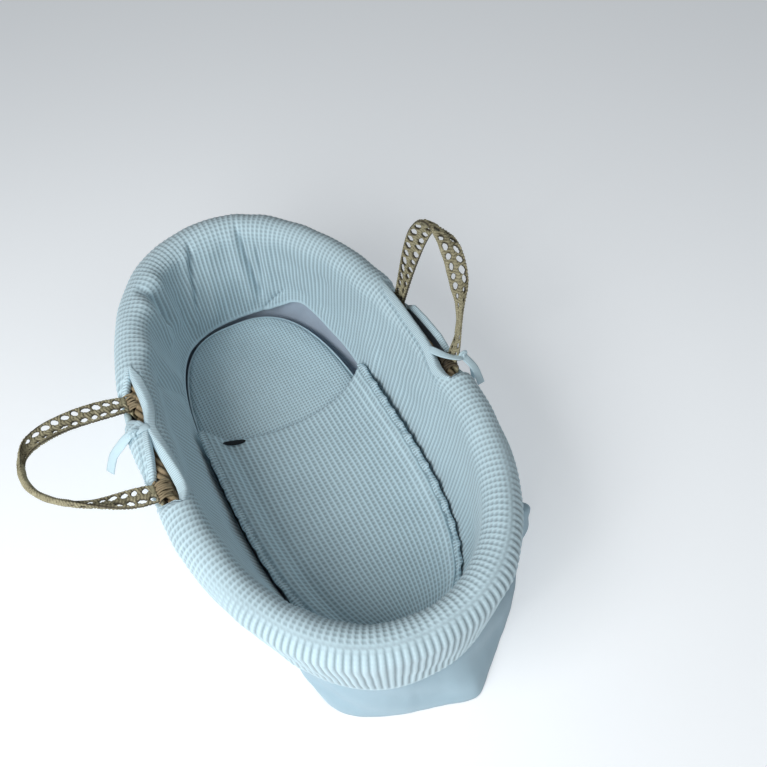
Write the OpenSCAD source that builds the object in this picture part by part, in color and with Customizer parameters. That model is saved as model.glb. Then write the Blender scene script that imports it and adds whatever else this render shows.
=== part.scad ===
// Moses basket: a plaited palm basket with an oval plan, dressed in padded waffle cotton.
// It holds a mattress and a coverlet, and has two open-work palm carrying handles.
// +Y is the head end, +X is right, +Z is up. The origin is under the middle of the base.

/* [Basket] */
// Length of the rim, on the wall's centre line
rim_length = 810; // [640:2:980]
// Width of the rim, on the wall's centre line
rim_width = 454; // [370:2:550]
// Height of the rim's centre at the head end
head_height = 228; // [190:1:275]
// Height of the rim's centre at the foot end
foot_height = 200; // [165:1:240]
// How far the rim dips between its ends
rim_dip = 6; // [0:1:12]
// How much narrower the rim is at the head, as a share of its width
rim_egg = 0.05; // [0:0.01:0.1]
// How far the base is shorter than the rim at each end
end_flare = 23; // [10:1:50]
// How far the base is narrower than the rim on each side
side_flare = 57; // [30:1:70]
// Thickness of the plaited palm wall
wall_thickness = 8; // [5:1:10]
// Thickness of the plaited palm base
base_thickness = 8; // [5:1:12]
// Number of palm courses sewn into the wall
courses = 5; // [3:1:7]
// Radius of the palm braid along the rim
rim_radius = 9; // [6:0.5:11]

/* [Dressing] */
// Radius of the padded roll over the rim
roll_radius = 28; // [24:1:36]
// How far the outer waffle band hangs below the rim's centre
band_drop = 125; // [90:1:140]
// Thickness of the waffle cover
cover_thickness = 1.5; // [1:0.1:2.5]
// Thickness of the padding on the inner wall at its lower edge
inner_padding = 14; // [10:1:20]
// Gap between pieces that lie against each other
skin_gap = 0.3; // [0.3:0.1:0.5]
// Gap between the waffle cover and its wadding
cover_gap = 0.8; // [0.8:0.1:1.2]
// Length of the left handle opening
left_slot_length = 262; // [232:1:280]
// Length of the right handle opening
right_slot_length = 238; // [232:1:280]
// Thickness of the skirt cloth
skirt_cloth = 1.2; // [0.8:0.1:2]
// How far the skirt's edge stops above the floor
skirt_clear = 3; // [2:1:20]
// Width of the tie tapes
tape_width = 14; // [8:1:18]

/* [Handles] */
// Distance between the two ends of a handle, centre to centre
handle_spacing = 166; // [150:1:180]
// How far the handles sit towards the head from the middle
handle_shift = 28; // [0:1:50]
// How far a handle reaches out from the rim
handle_reach = 178; // [150:1:210]
// Width of the open-work palm band
handle_width = 38; // [28:1:44]
// Thickness of the palm band at its ends
handle_thickness = 7; // [5:0.5:8]
// Width of the band where it is gathered for the grip
grip_width = 24; // [18:1:30]
// Thickness of the band where it is gathered for the grip
grip_thickness = 11; // [8:1:14]
// Angle of the left handle above level
left_angle = 12; // [5:1:135]
// Angle of the right handle above level
right_angle = 76; // [5:1:135]

/* [Bedding] */
// Gap between the mattress and the foot of the wall, at the ends
mattress_end_gap = 27; // [15:1:40]
// Gap between the mattress and the foot of the wall, at the sides
mattress_side_gap = 20; // [14:1:40]
// Thickness of the mattress
mattress_thickness = 47; // [30:1:50]
// Thickness of the mattress cover
mattress_cloth = 1.6; // [1:0.1:3]
// Thickness of the coverlet's wadding
coverlet_wadding_thickness = 5; // [3:0.5:8]
// Thickness of the coverlet's two cloth layers
coverlet_cloth = 1.3; // [0.8:0.1:2]
// How far the coverlet's top edge lies towards the head, at its middle
coverlet_top = 68; // [0:1:120]
// How far the coverlet's top corners stand ahead of the middle of that edge
coverlet_hollow = 42; // [0:1:60]
// Length of the dark tab on the coverlet's top edge
tab_length = 38; // [20:1:60]

/* [Hidden] */

ring_steps = 60;
rim_power = 2.26;
base_power = 2.5;
base_egg = 0.03;
flare_power = 0.8;
base_half_length = rim_length / 2 - end_flare;
base_half_width = rim_width / 2 - side_flare;
wall_half = wall_thickness / 2;

// The hinge line of a handle runs just outside the rim braid
hinge_clear = rim_radius + handle_thickness / 2 + 2;
hinge_height = (head_height + foot_height) / 2 + 2;
head_root_y = handle_shift + handle_spacing / 2;
foot_root_y = handle_shift - handle_spacing / 2;
slot_margin = 22;
slot_sink = 3;
stub_length = 62;
handle_steps = 44;
handle_power = 2.35;
left_sway = 5;
right_sway = 30;

// Inside of the dressing's outer leg, far enough out to clear the handle ends
outer_leg_inside = rim_radius + handle_thickness + 6;
inner_leg_foot = 62;
lining_inside = wall_half + skin_gap + 1.2;

mattress_half_length = base_half_length - mattress_end_gap;
mattress_half_width = base_half_width - mattress_side_gap;
mattress_power = 2.8;
mattress_bottom = base_thickness + skin_gap;
mattress_surface = mattress_bottom + mattress_thickness;
piping_radius = 1.6;

frill_width = 8;
frill_thickness = 5;
coverlet_half_width = mattress_half_width - 1;
coverlet_half_length = mattress_half_length - 4;
coverlet_foot = -coverlet_half_length + 12;
coverlet_shift = 4;
coverlet_rise = 30;
coverlet_bottom = mattress_surface + skin_gap + 0.6;
layer_gap = 0.7;

// Where the loose skirt stands out: angle round the plan, spread, and how far
skirt_lobes = [[-82, 11, 46], [-112, 16, 20], [-42, 12, 56]];

palm = "#a79c78";
palm_dark = "#8d8260";
waffle = "#cfe0e6";
plain = "#a9b9c4";
grey_lilac = "#b4bac8";
tape = "#c6d8de";
black_cloth = "#22262b";

// ---- plan outlines

function signed_power(value, power) = sign(value) * pow(abs(value), power);

function oval(angle, half_length, half_width, power, egg) =
    let (along = signed_power(sin(angle), 2 / power))
    [half_width * signed_power(cos(angle), 2 / power) * (1 + egg * along), half_length * along];

function rim_xy(angle) = oval(angle, rim_length / 2, rim_width / 2, rim_power, -rim_egg);
function base_xy(angle) = oval(angle, base_half_length, base_half_width, base_power, base_egg);

function rim_normal(angle) =
    let (step = rim_xy(angle + 1) - rim_xy(angle - 1))
    [step.y, -step.x] / norm(step);

function rim_z_at(y) =
    let (share = y / (rim_length / 2))
    foot_height + (head_height - foot_height) * (share + 1) / 2 - rim_dip * (1 - share * share);
function rim_z(angle) = rim_z_at(rim_xy(angle).y);

// Half the rim's width at a given distance along the basket
function rim_x_at(y) =
    let (share = y / (rim_length / 2))
    rim_width / 2 * pow(1 - pow(abs(share), rim_power), 1 / rim_power) * (1 - rim_egg * share);

// Angle round the plan at which the rim reaches a given distance along the basket
function rim_angle_at(y) =
    let (share = y / (rim_length / 2))
    asin(signed_power(share, rim_power / 2));

// A point that stands out from the wall by so much, at a height
function wall_point(angle, out, z) =
    let (share = pow(min(max(z / rim_z(angle), 0), 1), flare_power))
    let (flat = base_xy(angle) * (1 - share) + rim_xy(angle) * share + rim_normal(angle) * out)
    [flat.x, flat.y, z];

function ring_of(profile, angle) = [for (p = profile) wall_point(angle, p[0], p[1])];

// ---- solids made of rings of points

// A skin over rings of points: every ring has the same even number of points, its first half
// facing its second half, which is how the open ends are filled
module skin(rings, closed = true) {
    count = len(rings);
    width = len(rings[0]);
    strips = closed ? count : count - 1;
    sides = [for (i = [0:strips - 1], j = [0:width - 1])
        let (a = i * width + j, b = i * width + (j + 1) % width)
        let (c = ((i + 1) % count) * width + (j + 1) % width, d = ((i + 1) % count) * width + j)
        each [[a, b, c], [a, c, d]]];
    start_cap = [for (j = [0:width / 2 - 2])
        each [[j, width - 1 - j, width - 2 - j], [j, width - 2 - j, j + 1]]];
    end_base = (count - 1) * width;
    end_cap = [for (j = [0:width / 2 - 2])
        let (a = end_base + j, b = end_base + width - 1 - j)
        each [[a, b - 1, b], [a, a + 1, b - 1]]];
    faces = closed ? sides : concat(sides, start_cap, end_cap);
    polyhedron([for (ring = rings) each ring], faces, convexity = 12);
}

function ring_angles() = [for (i = [0:ring_steps - 1]) i * 360 / ring_steps];

// A flat oval plate
module plate(half_length, half_width, power, egg, thickness) {
    linear_extrude(thickness)
        polygon([for (a = [0:4:356]) oval(a, half_length, half_width, power, egg)]);
}

// ---- the palm basket

module palm_base() {
    color(palm)
        plate(base_half_length + wall_half, base_half_width + wall_half,
              base_power, base_egg, base_thickness);
}

// One side of the wall's profile: it swells at each course and pulls in at each seam
function wall_side(top, side) = [for (i = [0:2 * courses])
    [side * (wall_half - (i % 2 == 0 ? 1 : 0)),
     base_thickness + (top - base_thickness) * i / (2 * courses)]];

function reversed(list) = [for (i = [len(list) - 1:-1:0]) list[i]];

module palm_wall() {
    color(palm_dark)
        skin([for (a = ring_angles())
            let (top = rim_z(a) - rim_radius - skin_gap)
            ring_of(concat(wall_side(top, 1), reversed(wall_side(top, -1))), a)]);
}

module palm_rim() {
    color(palm)
        skin([for (a = ring_angles())
            ring_of([for (k = [0:7]) [rim_radius * cos(k * 45), rim_z(a) + rim_radius * sin(k * 45)]], a)]);
}

// Loops of palm cord that hold the braid on the wall
module rim_lashing() {
    color(palm_dark)
        for (k = [0:11])
            skin([for (angle = [14.6, 15.4] + [1, 1] * 30 * k)
                let (top = rim_z(angle) - rim_radius - 1, near = wall_half + skin_gap, far = near + 1.8)
                ring_of([[near, top - 18], [far, top - 18], [far, top], [near, top]], angle)],
                 closed = false);
}

// ---- the handles

function hinge_point(side, y) = [side * (rim_x_at(y) + hinge_clear), y, hinge_height];
function hinge_line(side) =
    let (step = hinge_point(side, head_root_y) - hinge_point(side, foot_root_y))
    step / norm(step);

// Centre line of a handle's fixed end, from its lowest point past the braid to the hinge line
function mirrored(point, side) = [side * point.x, point.y, point.z];
function root_line(side, y) =
    let (top = hinge_point(side, y) - [0, 0, handle_thickness / 2 + 1.2], angle = rim_angle_at(y))
    let (low = wall_point(angle, wall_half + handle_thickness / 2 + 0.9, top.z - stub_length))
    let (middle = wall_point(angle, rim_radius + handle_thickness / 2 + 1.6, top.z - 18))
    [mirrored(low, side), mirrored(middle, side), top];

// Fixed end of a handle band, sewn flat to the wall below the hinge line
module handle_root(side, y) {
    along = hinge_line(side) * handle_width / 2;
    thick = [handle_thickness / 2, 0, 0];
    color(palm)
        skin([for (p = root_line(side, y))
            [p - along - thick, p + along - thick, p + along + thick, p - along + thick]],
             closed = false);
}

module root_left_head() { handle_root(-1, head_root_y); }
module root_left_foot() { handle_root(-1, foot_root_y); }
module root_right_head() { handle_root(1, head_root_y); }
module root_right_foot() { handle_root(1, foot_root_y); }

// Palm cord stitches across each fixed end
module root_stitching() {
    color(palm_dark)
        for (side = [-1, 1], y = [head_root_y, foot_root_y], share = [0.3, 0.65]) {
            line = root_line(side, y);
            along = hinge_line(side);
            outside = [side * (handle_thickness / 2 + 1.7), 0, 0];
            translate(line[0] + (line[1] - line[0]) * share + outside)
                rotate([0, 0, -atan2(along.x, along.y)])
                    cube([1.6, handle_width + 4, 3], center = true);
        }
}

function smooth_step(value) =
    let (share = min(max(value, 0), 1))
    share * share * (3 - 2 * share);

// Centre of the band in the handle's own plane: along the hinge line, and out from it
function band_plan(turn, sway) =
    let (out = handle_reach * signed_power(sin(turn), 2 / handle_power))
    [handle_spacing / 2 * signed_power(cos(turn), 2 / handle_power) + sway * pow(out / handle_reach, 2), out];

// One cross-section of the band: flat to the plane at its ends, on edge at the grip
function band_section(side, lean, sway, turn, grow) =
    let (here = band_plan(turn, sway))
    let (step = band_plan(min(turn + 0.5, 179.95), sway) - band_plan(max(turn - 0.5, 0.05), sway))
    let (across = [step.y, -step.x] / norm(step))
    let (grip = smooth_step((here[1] / handle_reach - 0.3) / 0.5))
    let (half_width = (handle_width + (grip_width - handle_width) * grip) / 2 + grow)
    let (half_thick = (handle_thickness + (grip_thickness - handle_thickness) * grip) / 2 + grow)
    let (line = hinge_line(side))
    let (level = [side * line.y, -side * line.x, 0])
    let (out = level * cos(lean) + [0, 0, sin(lean)])
    let (lift = [0, 0, cos(lean)] - level * sin(lean))
    let (middle = (hinge_point(side, head_root_y) + hinge_point(side, foot_root_y)) / 2)
    let (centre = middle + line * here[0] + out * here[1])
    let (flat_across = line * across[0] + out * across[1])
    let (wide = flat_across * cos(90 * grip) + lift * sin(90 * grip))
    let (thin = lift * cos(90 * grip) - flat_across * sin(90 * grip))
    [for (corner = [[-1, -0.5], [-0.8, -1], [0.8, -1], [1, -0.5], [1, 0.5], [0.8, 1], [-0.8, 1], [-1, 0.5]])
        centre + wide * (half_width * corner[0]) + thin * (half_thick * corner[1])];

module band_sweep(side, lean, sway, first, last, grow) {
    steps = ceil(handle_steps * (last - first) / 180);
    rings = [for (i = [0:steps]) band_section(side, lean, sway, first + (last - first) * i / steps, grow)];
    skin(side > 0 ? [for (ring = rings) reversed(ring)] : rings, closed = false);
}

grip_from = 52;
grip_to = 128;

module left_handle_band() { color(palm) band_sweep(-1, left_angle, left_sway, 0.25, 179.75, 0); }
module right_handle_band() { color(palm) band_sweep(1, right_angle, right_sway, 0.25, 179.75, 0); }

// Palm leaf wound round the gathered band, as a sleeve
module grip_wrap(side, lean, sway) {
    color(palm_dark)
        difference() {
            band_sweep(side, lean, sway, grip_from, grip_to, 1.5);
            band_sweep(side, lean, sway, grip_from - 3, grip_to + 3, 0.3);
        }
}

module left_grip_wrap() { grip_wrap(-1, left_angle, left_sway); }
module right_grip_wrap() { grip_wrap(1, right_angle, right_sway); }

// ---- the dressing

// Outer face of the dressing, from the inner foot over the roll to the hem of the band
function dressing_face(angle, inset) =
    let (z = rim_z(angle), r = roll_radius - inset)
    concat(
        [[-lining_inside - inner_padding + inset, inner_leg_foot],
         [-roll_radius + 8 + inset, inner_leg_foot + (z - inner_leg_foot) * 0.45]],
        [for (k = [0:7]) [-r * cos(k * 180 / 7), z + r * sin(k * 180 / 7)]],
        [[r, z - band_drop / 2], [r - 1, z - band_drop]]);

function dressing_inside(angle) =
    let (z = rim_z(angle), clear = rim_radius + 1)
    [[outer_leg_inside, z - band_drop], [outer_leg_inside, z + 2], [clear, z + clear],
     [0, z + clear + 2], [-clear, z + clear - 3], [-clear, z - clear - 2],
     [-lining_inside - 2 * skin_gap, z - 34], [-lining_inside - 2 * skin_gap, inner_leg_foot]];

// Space for the handle to pass out of the dressing and swing
module slot_space(side, length, grow) {
    centre = handle_shift + (length - handle_spacing) / 2 - slot_margin - handle_width / 2;
    low = rim_angle_at(centre - length / 2 - grow);
    high = rim_angle_at(centre + length / 2 + grow);
    rings = [for (i = [0:12])
        let (angle = low + (high - low) * i / 12, z = rim_z(angle), floor_z = z - slot_sink - grow)
        ring_of([[-17 - grow, floor_z], [roll_radius + 12, floor_z],
                 [roll_radius + 12, z + roll_radius + 12], [-17 - grow, z + roll_radius + 12]], angle)];
    if (side > 0) skin(rings, closed = false);
    else mirror([1, 0, 0]) skin(rings, closed = false);
}

module both_slots(grow) {
    slot_space(-1, left_slot_length, grow);
    slot_space(1, right_slot_length, grow);
}

module surround_wadding() {
    color("white")
        difference() {
            skin([for (a = ring_angles())
                reversed(ring_of(concat(dressing_face(a, cover_thickness + cover_gap), dressing_inside(a)), a))]);
            both_slots(2.5);
        }
}

module surround_cover() {
    color(waffle)
        difference() {
            skin([for (a = ring_angles())
                reversed(ring_of(concat(dressing_face(a, 0), reversed(dressing_face(a, cover_thickness))), a))]);
            both_slots(2.5);
        }
}

// Plain cloth that lines the wall below the padding, down beside the mattress
module lower_lining() {
    color(grey_lilac)
        skin([for (a = ring_angles())
            let (low = base_thickness + 1, middle = 36, high = inner_leg_foot + 18)
            ring_of([[-wall_half - skin_gap, low], [-wall_half - skin_gap, middle], [-wall_half - skin_gap, high],
                     [-lining_inside, high], [-lining_inside, middle], [-lining_inside, low]], a)]);
}

// Turned and stitched edge round a handle opening
module slot_facing(side, length) {
    color(grey_lilac)
        difference() {
            intersection() {
                skin([for (a = ring_angles())
                    reversed(ring_of(concat(dressing_face(a, 0.2), reversed(dressing_face(a, cover_thickness + 4))), a))]);
                slot_space(side, length, 2.2);
            }
            slot_space(side, length, 0);
        }
}

module left_slot_facing() { slot_facing(-1, left_slot_length); }
module right_slot_facing() { slot_facing(1, right_slot_length); }

function lobe(angle, low) =
    let (gap = (angle - low[0] + 540) % 360 - 180)
    low[2] * exp(-pow(gap / low[1], 2));
function skirt_out(angle) =
    20 + lobe(angle, skirt_lobes[0]) + lobe(angle, skirt_lobes[1]) + lobe(angle, skirt_lobes[2]);

function skirt_bend_out(angle) = (outer_leg_inside + skirt_out(angle)) / 2;
function skirt_bend_z(angle) = (rim_z(angle) - band_drop + skirt_clear) / 2;

function skirt_line(angle, thick) =
    let (hem = rim_z(angle) - band_drop)
    [[outer_leg_inside - 3.5 + thick, hem + 20],
     [outer_leg_inside - 2.5 + thick, hem - 2],
     [skirt_bend_out(angle) + thick, skirt_bend_z(angle)],
     [skirt_out(angle) + thick, skirt_clear]];

// How far the lower part of the skirt stands out at a height
function skirt_out_at(angle, z) =
    let (share = (z - skirt_clear) / (skirt_bend_z(angle) - skirt_clear))
    skirt_out(angle) + (skirt_bend_out(angle) - skirt_out(angle)) * share;

module skirt() {
    color(plain)
        skin([for (a = ring_angles())
            ring_of(concat(reversed(skirt_line(a, skirt_cloth)), skirt_line(a, 0)), a)]);
}

// Elastic run in the skirt's edge, on its inner side
module skirt_elastic() {
    color("white")
        skin([for (a = ring_angles())
            let (z = skirt_clear + 4, out = skirt_out_at(a, z) - 3.8)
            ring_of([for (k = [0:3]) [out + 1.6 * cos(k * 90), z + 1.6 * sin(k * 90)]], a)]);
}

// A tape that crosses the handle opening, with its knot and tails outside the roll
module tie(side, y, tails) {
    angle = rim_angle_at(y);
    z = rim_z_at(y);
    point = rim_xy(angle);
    over = roll_radius + 1;
    color(tape)
        translate([side * point.x, point.y, z])
            scale_side(side) {
                rotate([90, 0, 0])
                    linear_extrude(tape_width, center = true)
                        polygon(concat(
                            [for (a = [10:10:140]) (over + 1.4) * [cos(a), sin(a)]],
                            [for (a = [140:-10:10]) over * [cos(a), sin(a)]]));
                translate([(over + 5) * cos(38), 0, (over + 5) * sin(38)])
                    rotate([90, 0, 0])
                        cylinder(r = 7, h = tape_width - 1, center = true, $fn = 32);
                for (tail = tails)
                    translate([over + 1, tail[0], 14])
                        rotate([tail[1], 2, 0])
                            translate([0, -tape_width / 2, -tail[2]])
                                cube([1.4, tape_width, tail[2]]);
            }
}

module scale_side(side) {
    if (side > 0) children();
    else mirror([1, 0, 0]) children();
}

left_tie_y = 42;
right_tie_y = -20;
module left_tie() { tie(-1, left_tie_y, [[-2, 8, 70]]); }
module right_tie() { tie(1, right_tie_y, [[2, -14, 58], [-2, 10, 52]]); }

// ---- the bedding

module mattress_block(inset, thickness) {
    translate([0, 0, mattress_bottom + inset])
        plate(mattress_half_length - inset, mattress_half_width - inset, mattress_power, base_egg,
              thickness - 2 * inset);
}

module mattress_foam() {
    color("white") mattress_block(mattress_cloth + layer_gap, mattress_thickness);
}

module mattress_cover() {
    color(waffle)
        difference() {
            mattress_block(0, mattress_thickness);
            mattress_block(mattress_cloth, mattress_thickness);
        }
}

module mattress_piping() {
    color(plain)
        skin([for (a = ring_angles())
            let (reach = piping_radius + 0.7, z = mattress_surface - piping_radius)
            let (flat = oval(a, mattress_half_length + reach, mattress_half_width + reach, mattress_power, base_egg))
            let (away = flat / norm(flat))
            [for (k = [0:5])
                [flat.x + away.x * piping_radius * cos(k * 60), flat.y + away.y * piping_radius * cos(k * 60),
                 z + piping_radius * sin(k * 60)]]]);
}

// A point of the coverlet: across from -1 to 1, along from 0 at the foot to 1 at its top edge
function coverlet_point(across, along, lift) =
    let (top = coverlet_top + coverlet_hollow * across * across)
    let (y = coverlet_foot + (top - coverlet_foot) * along)
    let (share = pow(1 - pow(min(abs(min(y, 0)) / coverlet_half_length, 1), mattress_power), 1 / mattress_power))
    [coverlet_shift + coverlet_half_width * share * across, y,
     coverlet_bottom + coverlet_rise * pow(abs(across), 6) * (0.25 + 0.75 * along) + lift];

coverlet_across = [for (i = [-8:8]) i / 8];
coverlet_along = [for (i = [0:10]) i / 10];

module coverlet_layer(low, thickness) {
    skin([for (v = coverlet_along)
        concat([for (u = coverlet_across) coverlet_point(u, v, low)],
               [for (u = reversed(coverlet_across)) coverlet_point(u, v, low + thickness)])], closed = false);
}

module coverlet_backing() { color(plain) coverlet_layer(0, coverlet_cloth); }
module coverlet_wadding() {
    color("white") coverlet_layer(coverlet_cloth + layer_gap, coverlet_wadding_thickness);
}
module coverlet_top_cloth() {
    color(waffle)
        coverlet_layer(coverlet_cloth + coverlet_wadding_thickness + 2 * layer_gap, coverlet_cloth);
}

tab_across = -0.66;
tab_thickness = 1;
coverlet_middle = coverlet_cloth + coverlet_wadding_thickness / 2;

module frill(side) {
    color(waffle)
        skin([for (i = [1:24])
            let (edge = coverlet_point(side, i / 24, coverlet_middle))
            let (near = edge.x + side * 0.4, far = edge.x + side * frill_width)
            let (half = frill_thickness / 2, lift = 2 + 1.5 * sin(i * 150))
            side > 0
                ? [[near, edge.y, edge.z - half], [far, edge.y, edge.z - half + lift],
                   [far, edge.y, edge.z + half + lift], [near, edge.y, edge.z + half]]
                : [[near, edge.y, edge.z + half], [far, edge.y, edge.z + half + lift],
                   [far, edge.y, edge.z - half + lift], [near, edge.y, edge.z - half]]],
             closed = false);
}

module coverlet_left_frill() { frill(-1); }
module coverlet_right_frill() { frill(1); }

// A plain tab that follows the coverlet's surface beside its top edge
module coverlet_tab() {
    lift = 2 * coverlet_cloth + coverlet_wadding_thickness + 2 * layer_gap + 3 * skin_gap;
    reach = tab_length / coverlet_half_width / 2;
    color(black_cloth)
        skin([for (i = [0:6])
            let (across = tab_across + reach * (i / 3 - 1))
            [coverlet_point(across, 0.96, lift + tab_thickness), coverlet_point(across, 0.985, lift + tab_thickness),
             coverlet_point(across, 0.985, lift), coverlet_point(across, 0.96, lift)]],
             closed = false);
}

palm_base();
palm_wall();
palm_rim();
rim_lashing();
root_left_head();
root_left_foot();
root_right_head();
root_right_foot();
root_stitching();
surround_wadding();
surround_cover();
lower_lining();
left_slot_facing();
right_slot_facing();
skirt();
skirt_elastic();
left_tie();
right_tie();
left_handle_band();
left_grip_wrap();
right_handle_band();
right_grip_wrap();
mattress_foam();
mattress_cover();
mattress_piping();
coverlet_backing();
coverlet_wadding();
coverlet_top_cloth();
coverlet_left_frill();
coverlet_right_frill();
coverlet_tab();
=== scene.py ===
import bmesh
import bpy
import numpy as np
from mathutils import Matrix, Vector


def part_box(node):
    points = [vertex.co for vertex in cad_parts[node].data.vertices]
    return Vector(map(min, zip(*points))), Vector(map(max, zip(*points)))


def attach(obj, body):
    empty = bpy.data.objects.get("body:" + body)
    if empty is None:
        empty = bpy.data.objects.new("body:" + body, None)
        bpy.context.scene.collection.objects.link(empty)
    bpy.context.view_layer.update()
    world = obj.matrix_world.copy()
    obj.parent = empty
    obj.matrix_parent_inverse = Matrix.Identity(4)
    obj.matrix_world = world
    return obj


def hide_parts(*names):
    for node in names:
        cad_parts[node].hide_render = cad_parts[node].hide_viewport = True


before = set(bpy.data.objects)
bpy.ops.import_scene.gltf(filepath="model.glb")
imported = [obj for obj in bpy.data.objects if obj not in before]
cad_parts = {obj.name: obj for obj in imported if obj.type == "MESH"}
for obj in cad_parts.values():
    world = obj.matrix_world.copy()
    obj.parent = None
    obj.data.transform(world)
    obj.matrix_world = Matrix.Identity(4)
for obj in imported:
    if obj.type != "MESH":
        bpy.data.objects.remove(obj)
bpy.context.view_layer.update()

# All shapes below are worked out in millimetres and stored in metres.
millimetre = 0.001
degree = np.pi / 180


cameraSettings = {
    "lens": 36.92,
    "sensor": 36,
    "place": (-0.2124, -0.7141, 1.1665),
    "right": (0.87936, -0.47553, -0.02451),
    "up": (0.38604, 0.68186, 0.62132),
    "forward": (0.27874, 0.55583, -0.78317),
}

lightSettings = {
    # name: place, aim, width, watts, colour
    "mainLight": ((-1.49, -0.44, 1.56), (0, 0, 0.12), 1.1, 25, (0.97, 0.99, 1.0)),
    "lowLight": ((-1.4, -1.24, 1.17), (0, 0, 0.12), 1.1, 19, (0.97, 0.99, 1.0)),
    "sideLight": ((0.93, -1.25, 1.56), (0, 0, 0.12), 1.5, 8, (0.97, 0.99, 1.0)),
    "topLight": ((-0.18, -0.34, 2.17), (0, 0, 0.12), 1.5, 3, (0.97, 0.99, 1.0)),
}
skySettings = {"colour": (0.88, 0.95, 1.0), "strength": 0.08}


def makeCamera():
    lens = bpy.data.cameras.new("camera")
    lens.sensor_width = cameraSettings["sensor"]
    lens.lens = cameraSettings["lens"]
    lens.clip_start = 0.01
    camera = bpy.data.objects.new("camera", lens)
    bpy.context.scene.collection.objects.link(camera)
    columns = [cameraSettings["right"], cameraSettings["up"],
               [-part for part in cameraSettings["forward"]]]
    turn = Matrix([[columns[c][r] for c in range(3)] for r in range(3)]).to_4x4()
    turn.translation = cameraSettings["place"]
    camera.matrix_world = turn
    bpy.context.scene.camera = camera


def makeLights():
    for name, (place, aim, width, watts, colour) in lightSettings.items():
        lamp = bpy.data.lights.new(name, "AREA")
        lamp.size = width
        lamp.energy = watts
        lamp.color = colour
        lightObject = bpy.data.objects.new(name, lamp)
        bpy.context.scene.collection.objects.link(lightObject)
        back = np.array(place, float) - np.array(aim, float)
        back /= np.linalg.norm(back)
        side = np.cross((0, 1, 0.01), back)
        side /= np.linalg.norm(side)
        over = np.cross(back, side)
        turn = Matrix([[side[r], over[r], back[r]] for r in range(3)]).to_4x4()
        turn.translation = place
        lightObject.matrix_world = turn
    world = bpy.data.worlds.new("studio")
    world.use_nodes = True
    sky = world.node_tree.nodes["Background"]
    sky.inputs["Color"].default_value = (*skySettings["colour"], 1)
    sky.inputs["Strength"].default_value = skySettings["strength"]
    bpy.context.scene.world = world
    bpy.context.scene.view_settings.view_transform = "Standard"
    bpy.context.scene.view_settings.look = "None"


makeCamera()
makeLights()
print("camera and lights made")


class Wire:
    # a socket in a material; sums and products on it add Math nodes
    def __init__(self, tree, socket):
        self.tree = tree
        self.socket = socket

    def maths(self, operation, other=0.0, swapped=False):
        step = self.tree.nodes.new("ShaderNodeMath")
        step.operation = operation
        pair = (other, self) if swapped else (self, other)
        for place, value in zip(step.inputs, pair):
            if isinstance(value, Wire):
                self.tree.links.new(value.socket, place)
            else:
                place.default_value = value
        return Wire(self.tree, step.outputs[0])

    def __add__(self, other):
        return self.maths("ADD", other)

    def __radd__(self, other):
        return self.maths("ADD", other, True)

    def __mul__(self, other):
        return self.maths("MULTIPLY", other)

    def __rmul__(self, other):
        return self.maths("MULTIPLY", other, True)


class Finish:
    # a material built node by node, and the slot that its pieces belong to
    def __init__(self, name, slot):
        self.material = bpy.data.materials.new(name)
        self.material.use_nodes = True
        self.slot = slot
        self.tree = self.material.node_tree
        self.shader = self.tree.nodes["Principled BSDF"]

    def node(self, kind, settings=None, values=None, output=0):
        step = self.tree.nodes.new(kind)
        for key, value in (settings or {}).items():
            setattr(step, key, value)
        for key, value in (values or {}).items():
            if isinstance(value, Wire):
                self.tree.links.new(value.socket, step.inputs[key])
            elif isinstance(value, tuple) and len(value) == 3 and step.inputs[key].type == "RGBA":
                step.inputs[key].default_value = (*value, 1)
            else:
                step.inputs[key].default_value = value
        return Wire(self.tree, step.outputs[output])

    def place(self):
        return self.node("ShaderNodeTexCoord", output="Object")

    def attribute(self, name):
        return self.node("ShaderNodeAttribute", {"attribute_name": name}, output="Fac")

    def noise(self, scale, detail=3.0, rough=0.55, vector=None):
        values = {"Scale": scale, "Detail": detail, "Roughness": rough,
                  "Vector": vector or self.place()}
        return self.node("ShaderNodeTexNoise", None, values, output=0)

    def mixColour(self, share, first, second):
        return self.node("ShaderNodeMix", {"data_type": "RGBA"},
                         {0: share, 6: first, 7: second}, output=2)

    def remap(self, value, low, high, newLow=0.0, newHigh=1.0):
        return self.node("ShaderNodeMapRange", None,
                         {"Value": value, "From Min": low, "From Max": high,
                          "To Min": newLow, "To Max": newHigh})

    def bump(self, height, strength, distance):
        normal = self.node("ShaderNodeBump", None,
                           {"Height": height, "Strength": strength, "Distance": distance})
        self.tree.links.new(normal.socket, self.shader.inputs["Normal"])

    def set(self, **values):
        names = {"colour": "Base Color", "roughness": "Roughness", "sheen": "Sheen Weight",
                 "sheenRoughness": "Sheen Roughness", "specular": "Specular IOR Level"}
        for key, value in values.items():
            socket = self.shader.inputs[names[key]]
            if isinstance(value, Wire):
                self.tree.links.new(value.socket, socket)
            elif isinstance(value, tuple):
                socket.default_value = (*value, 1)
            else:
                socket.default_value = value


def threadField(finish, pitch, vector):
    # crossed fine threads: two sine waves, one along each way of the cloth
    split = finish.node("ShaderNodeSeparateXYZ", None, {"Vector": vector}).socket.node
    across, along, upright = [Wire(finish.tree, output) for output in split.outputs]
    wave = 2 * np.pi / pitch
    first = (across * wave).maths("SINE")
    second = ((along + upright) * wave).maths("SINE")
    return first * second


# each cloth's two colours: the waffle's second is painted shade for its pits, the other cloths' two are an uneven
# tone
clothColours = {
    "waffle": ((0.62, 0.79, 0.86), (0.24, 0.325, 0.37)),
    "plain": ((0.44, 0.58, 0.66), (0.36, 0.50, 0.58)),
    "lining": ((0.43, 0.49, 0.57), (0.34, 0.40, 0.48)),
    "tape": ((0.60, 0.76, 0.82), (0.46, 0.62, 0.70)),
    "elastic": ((0.8, 0.8, 0.78), (0.7, 0.7, 0.68)),
    "tab": ((0.02, 0.022, 0.026), (0.010, 0.012, 0.015)),
}
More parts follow.
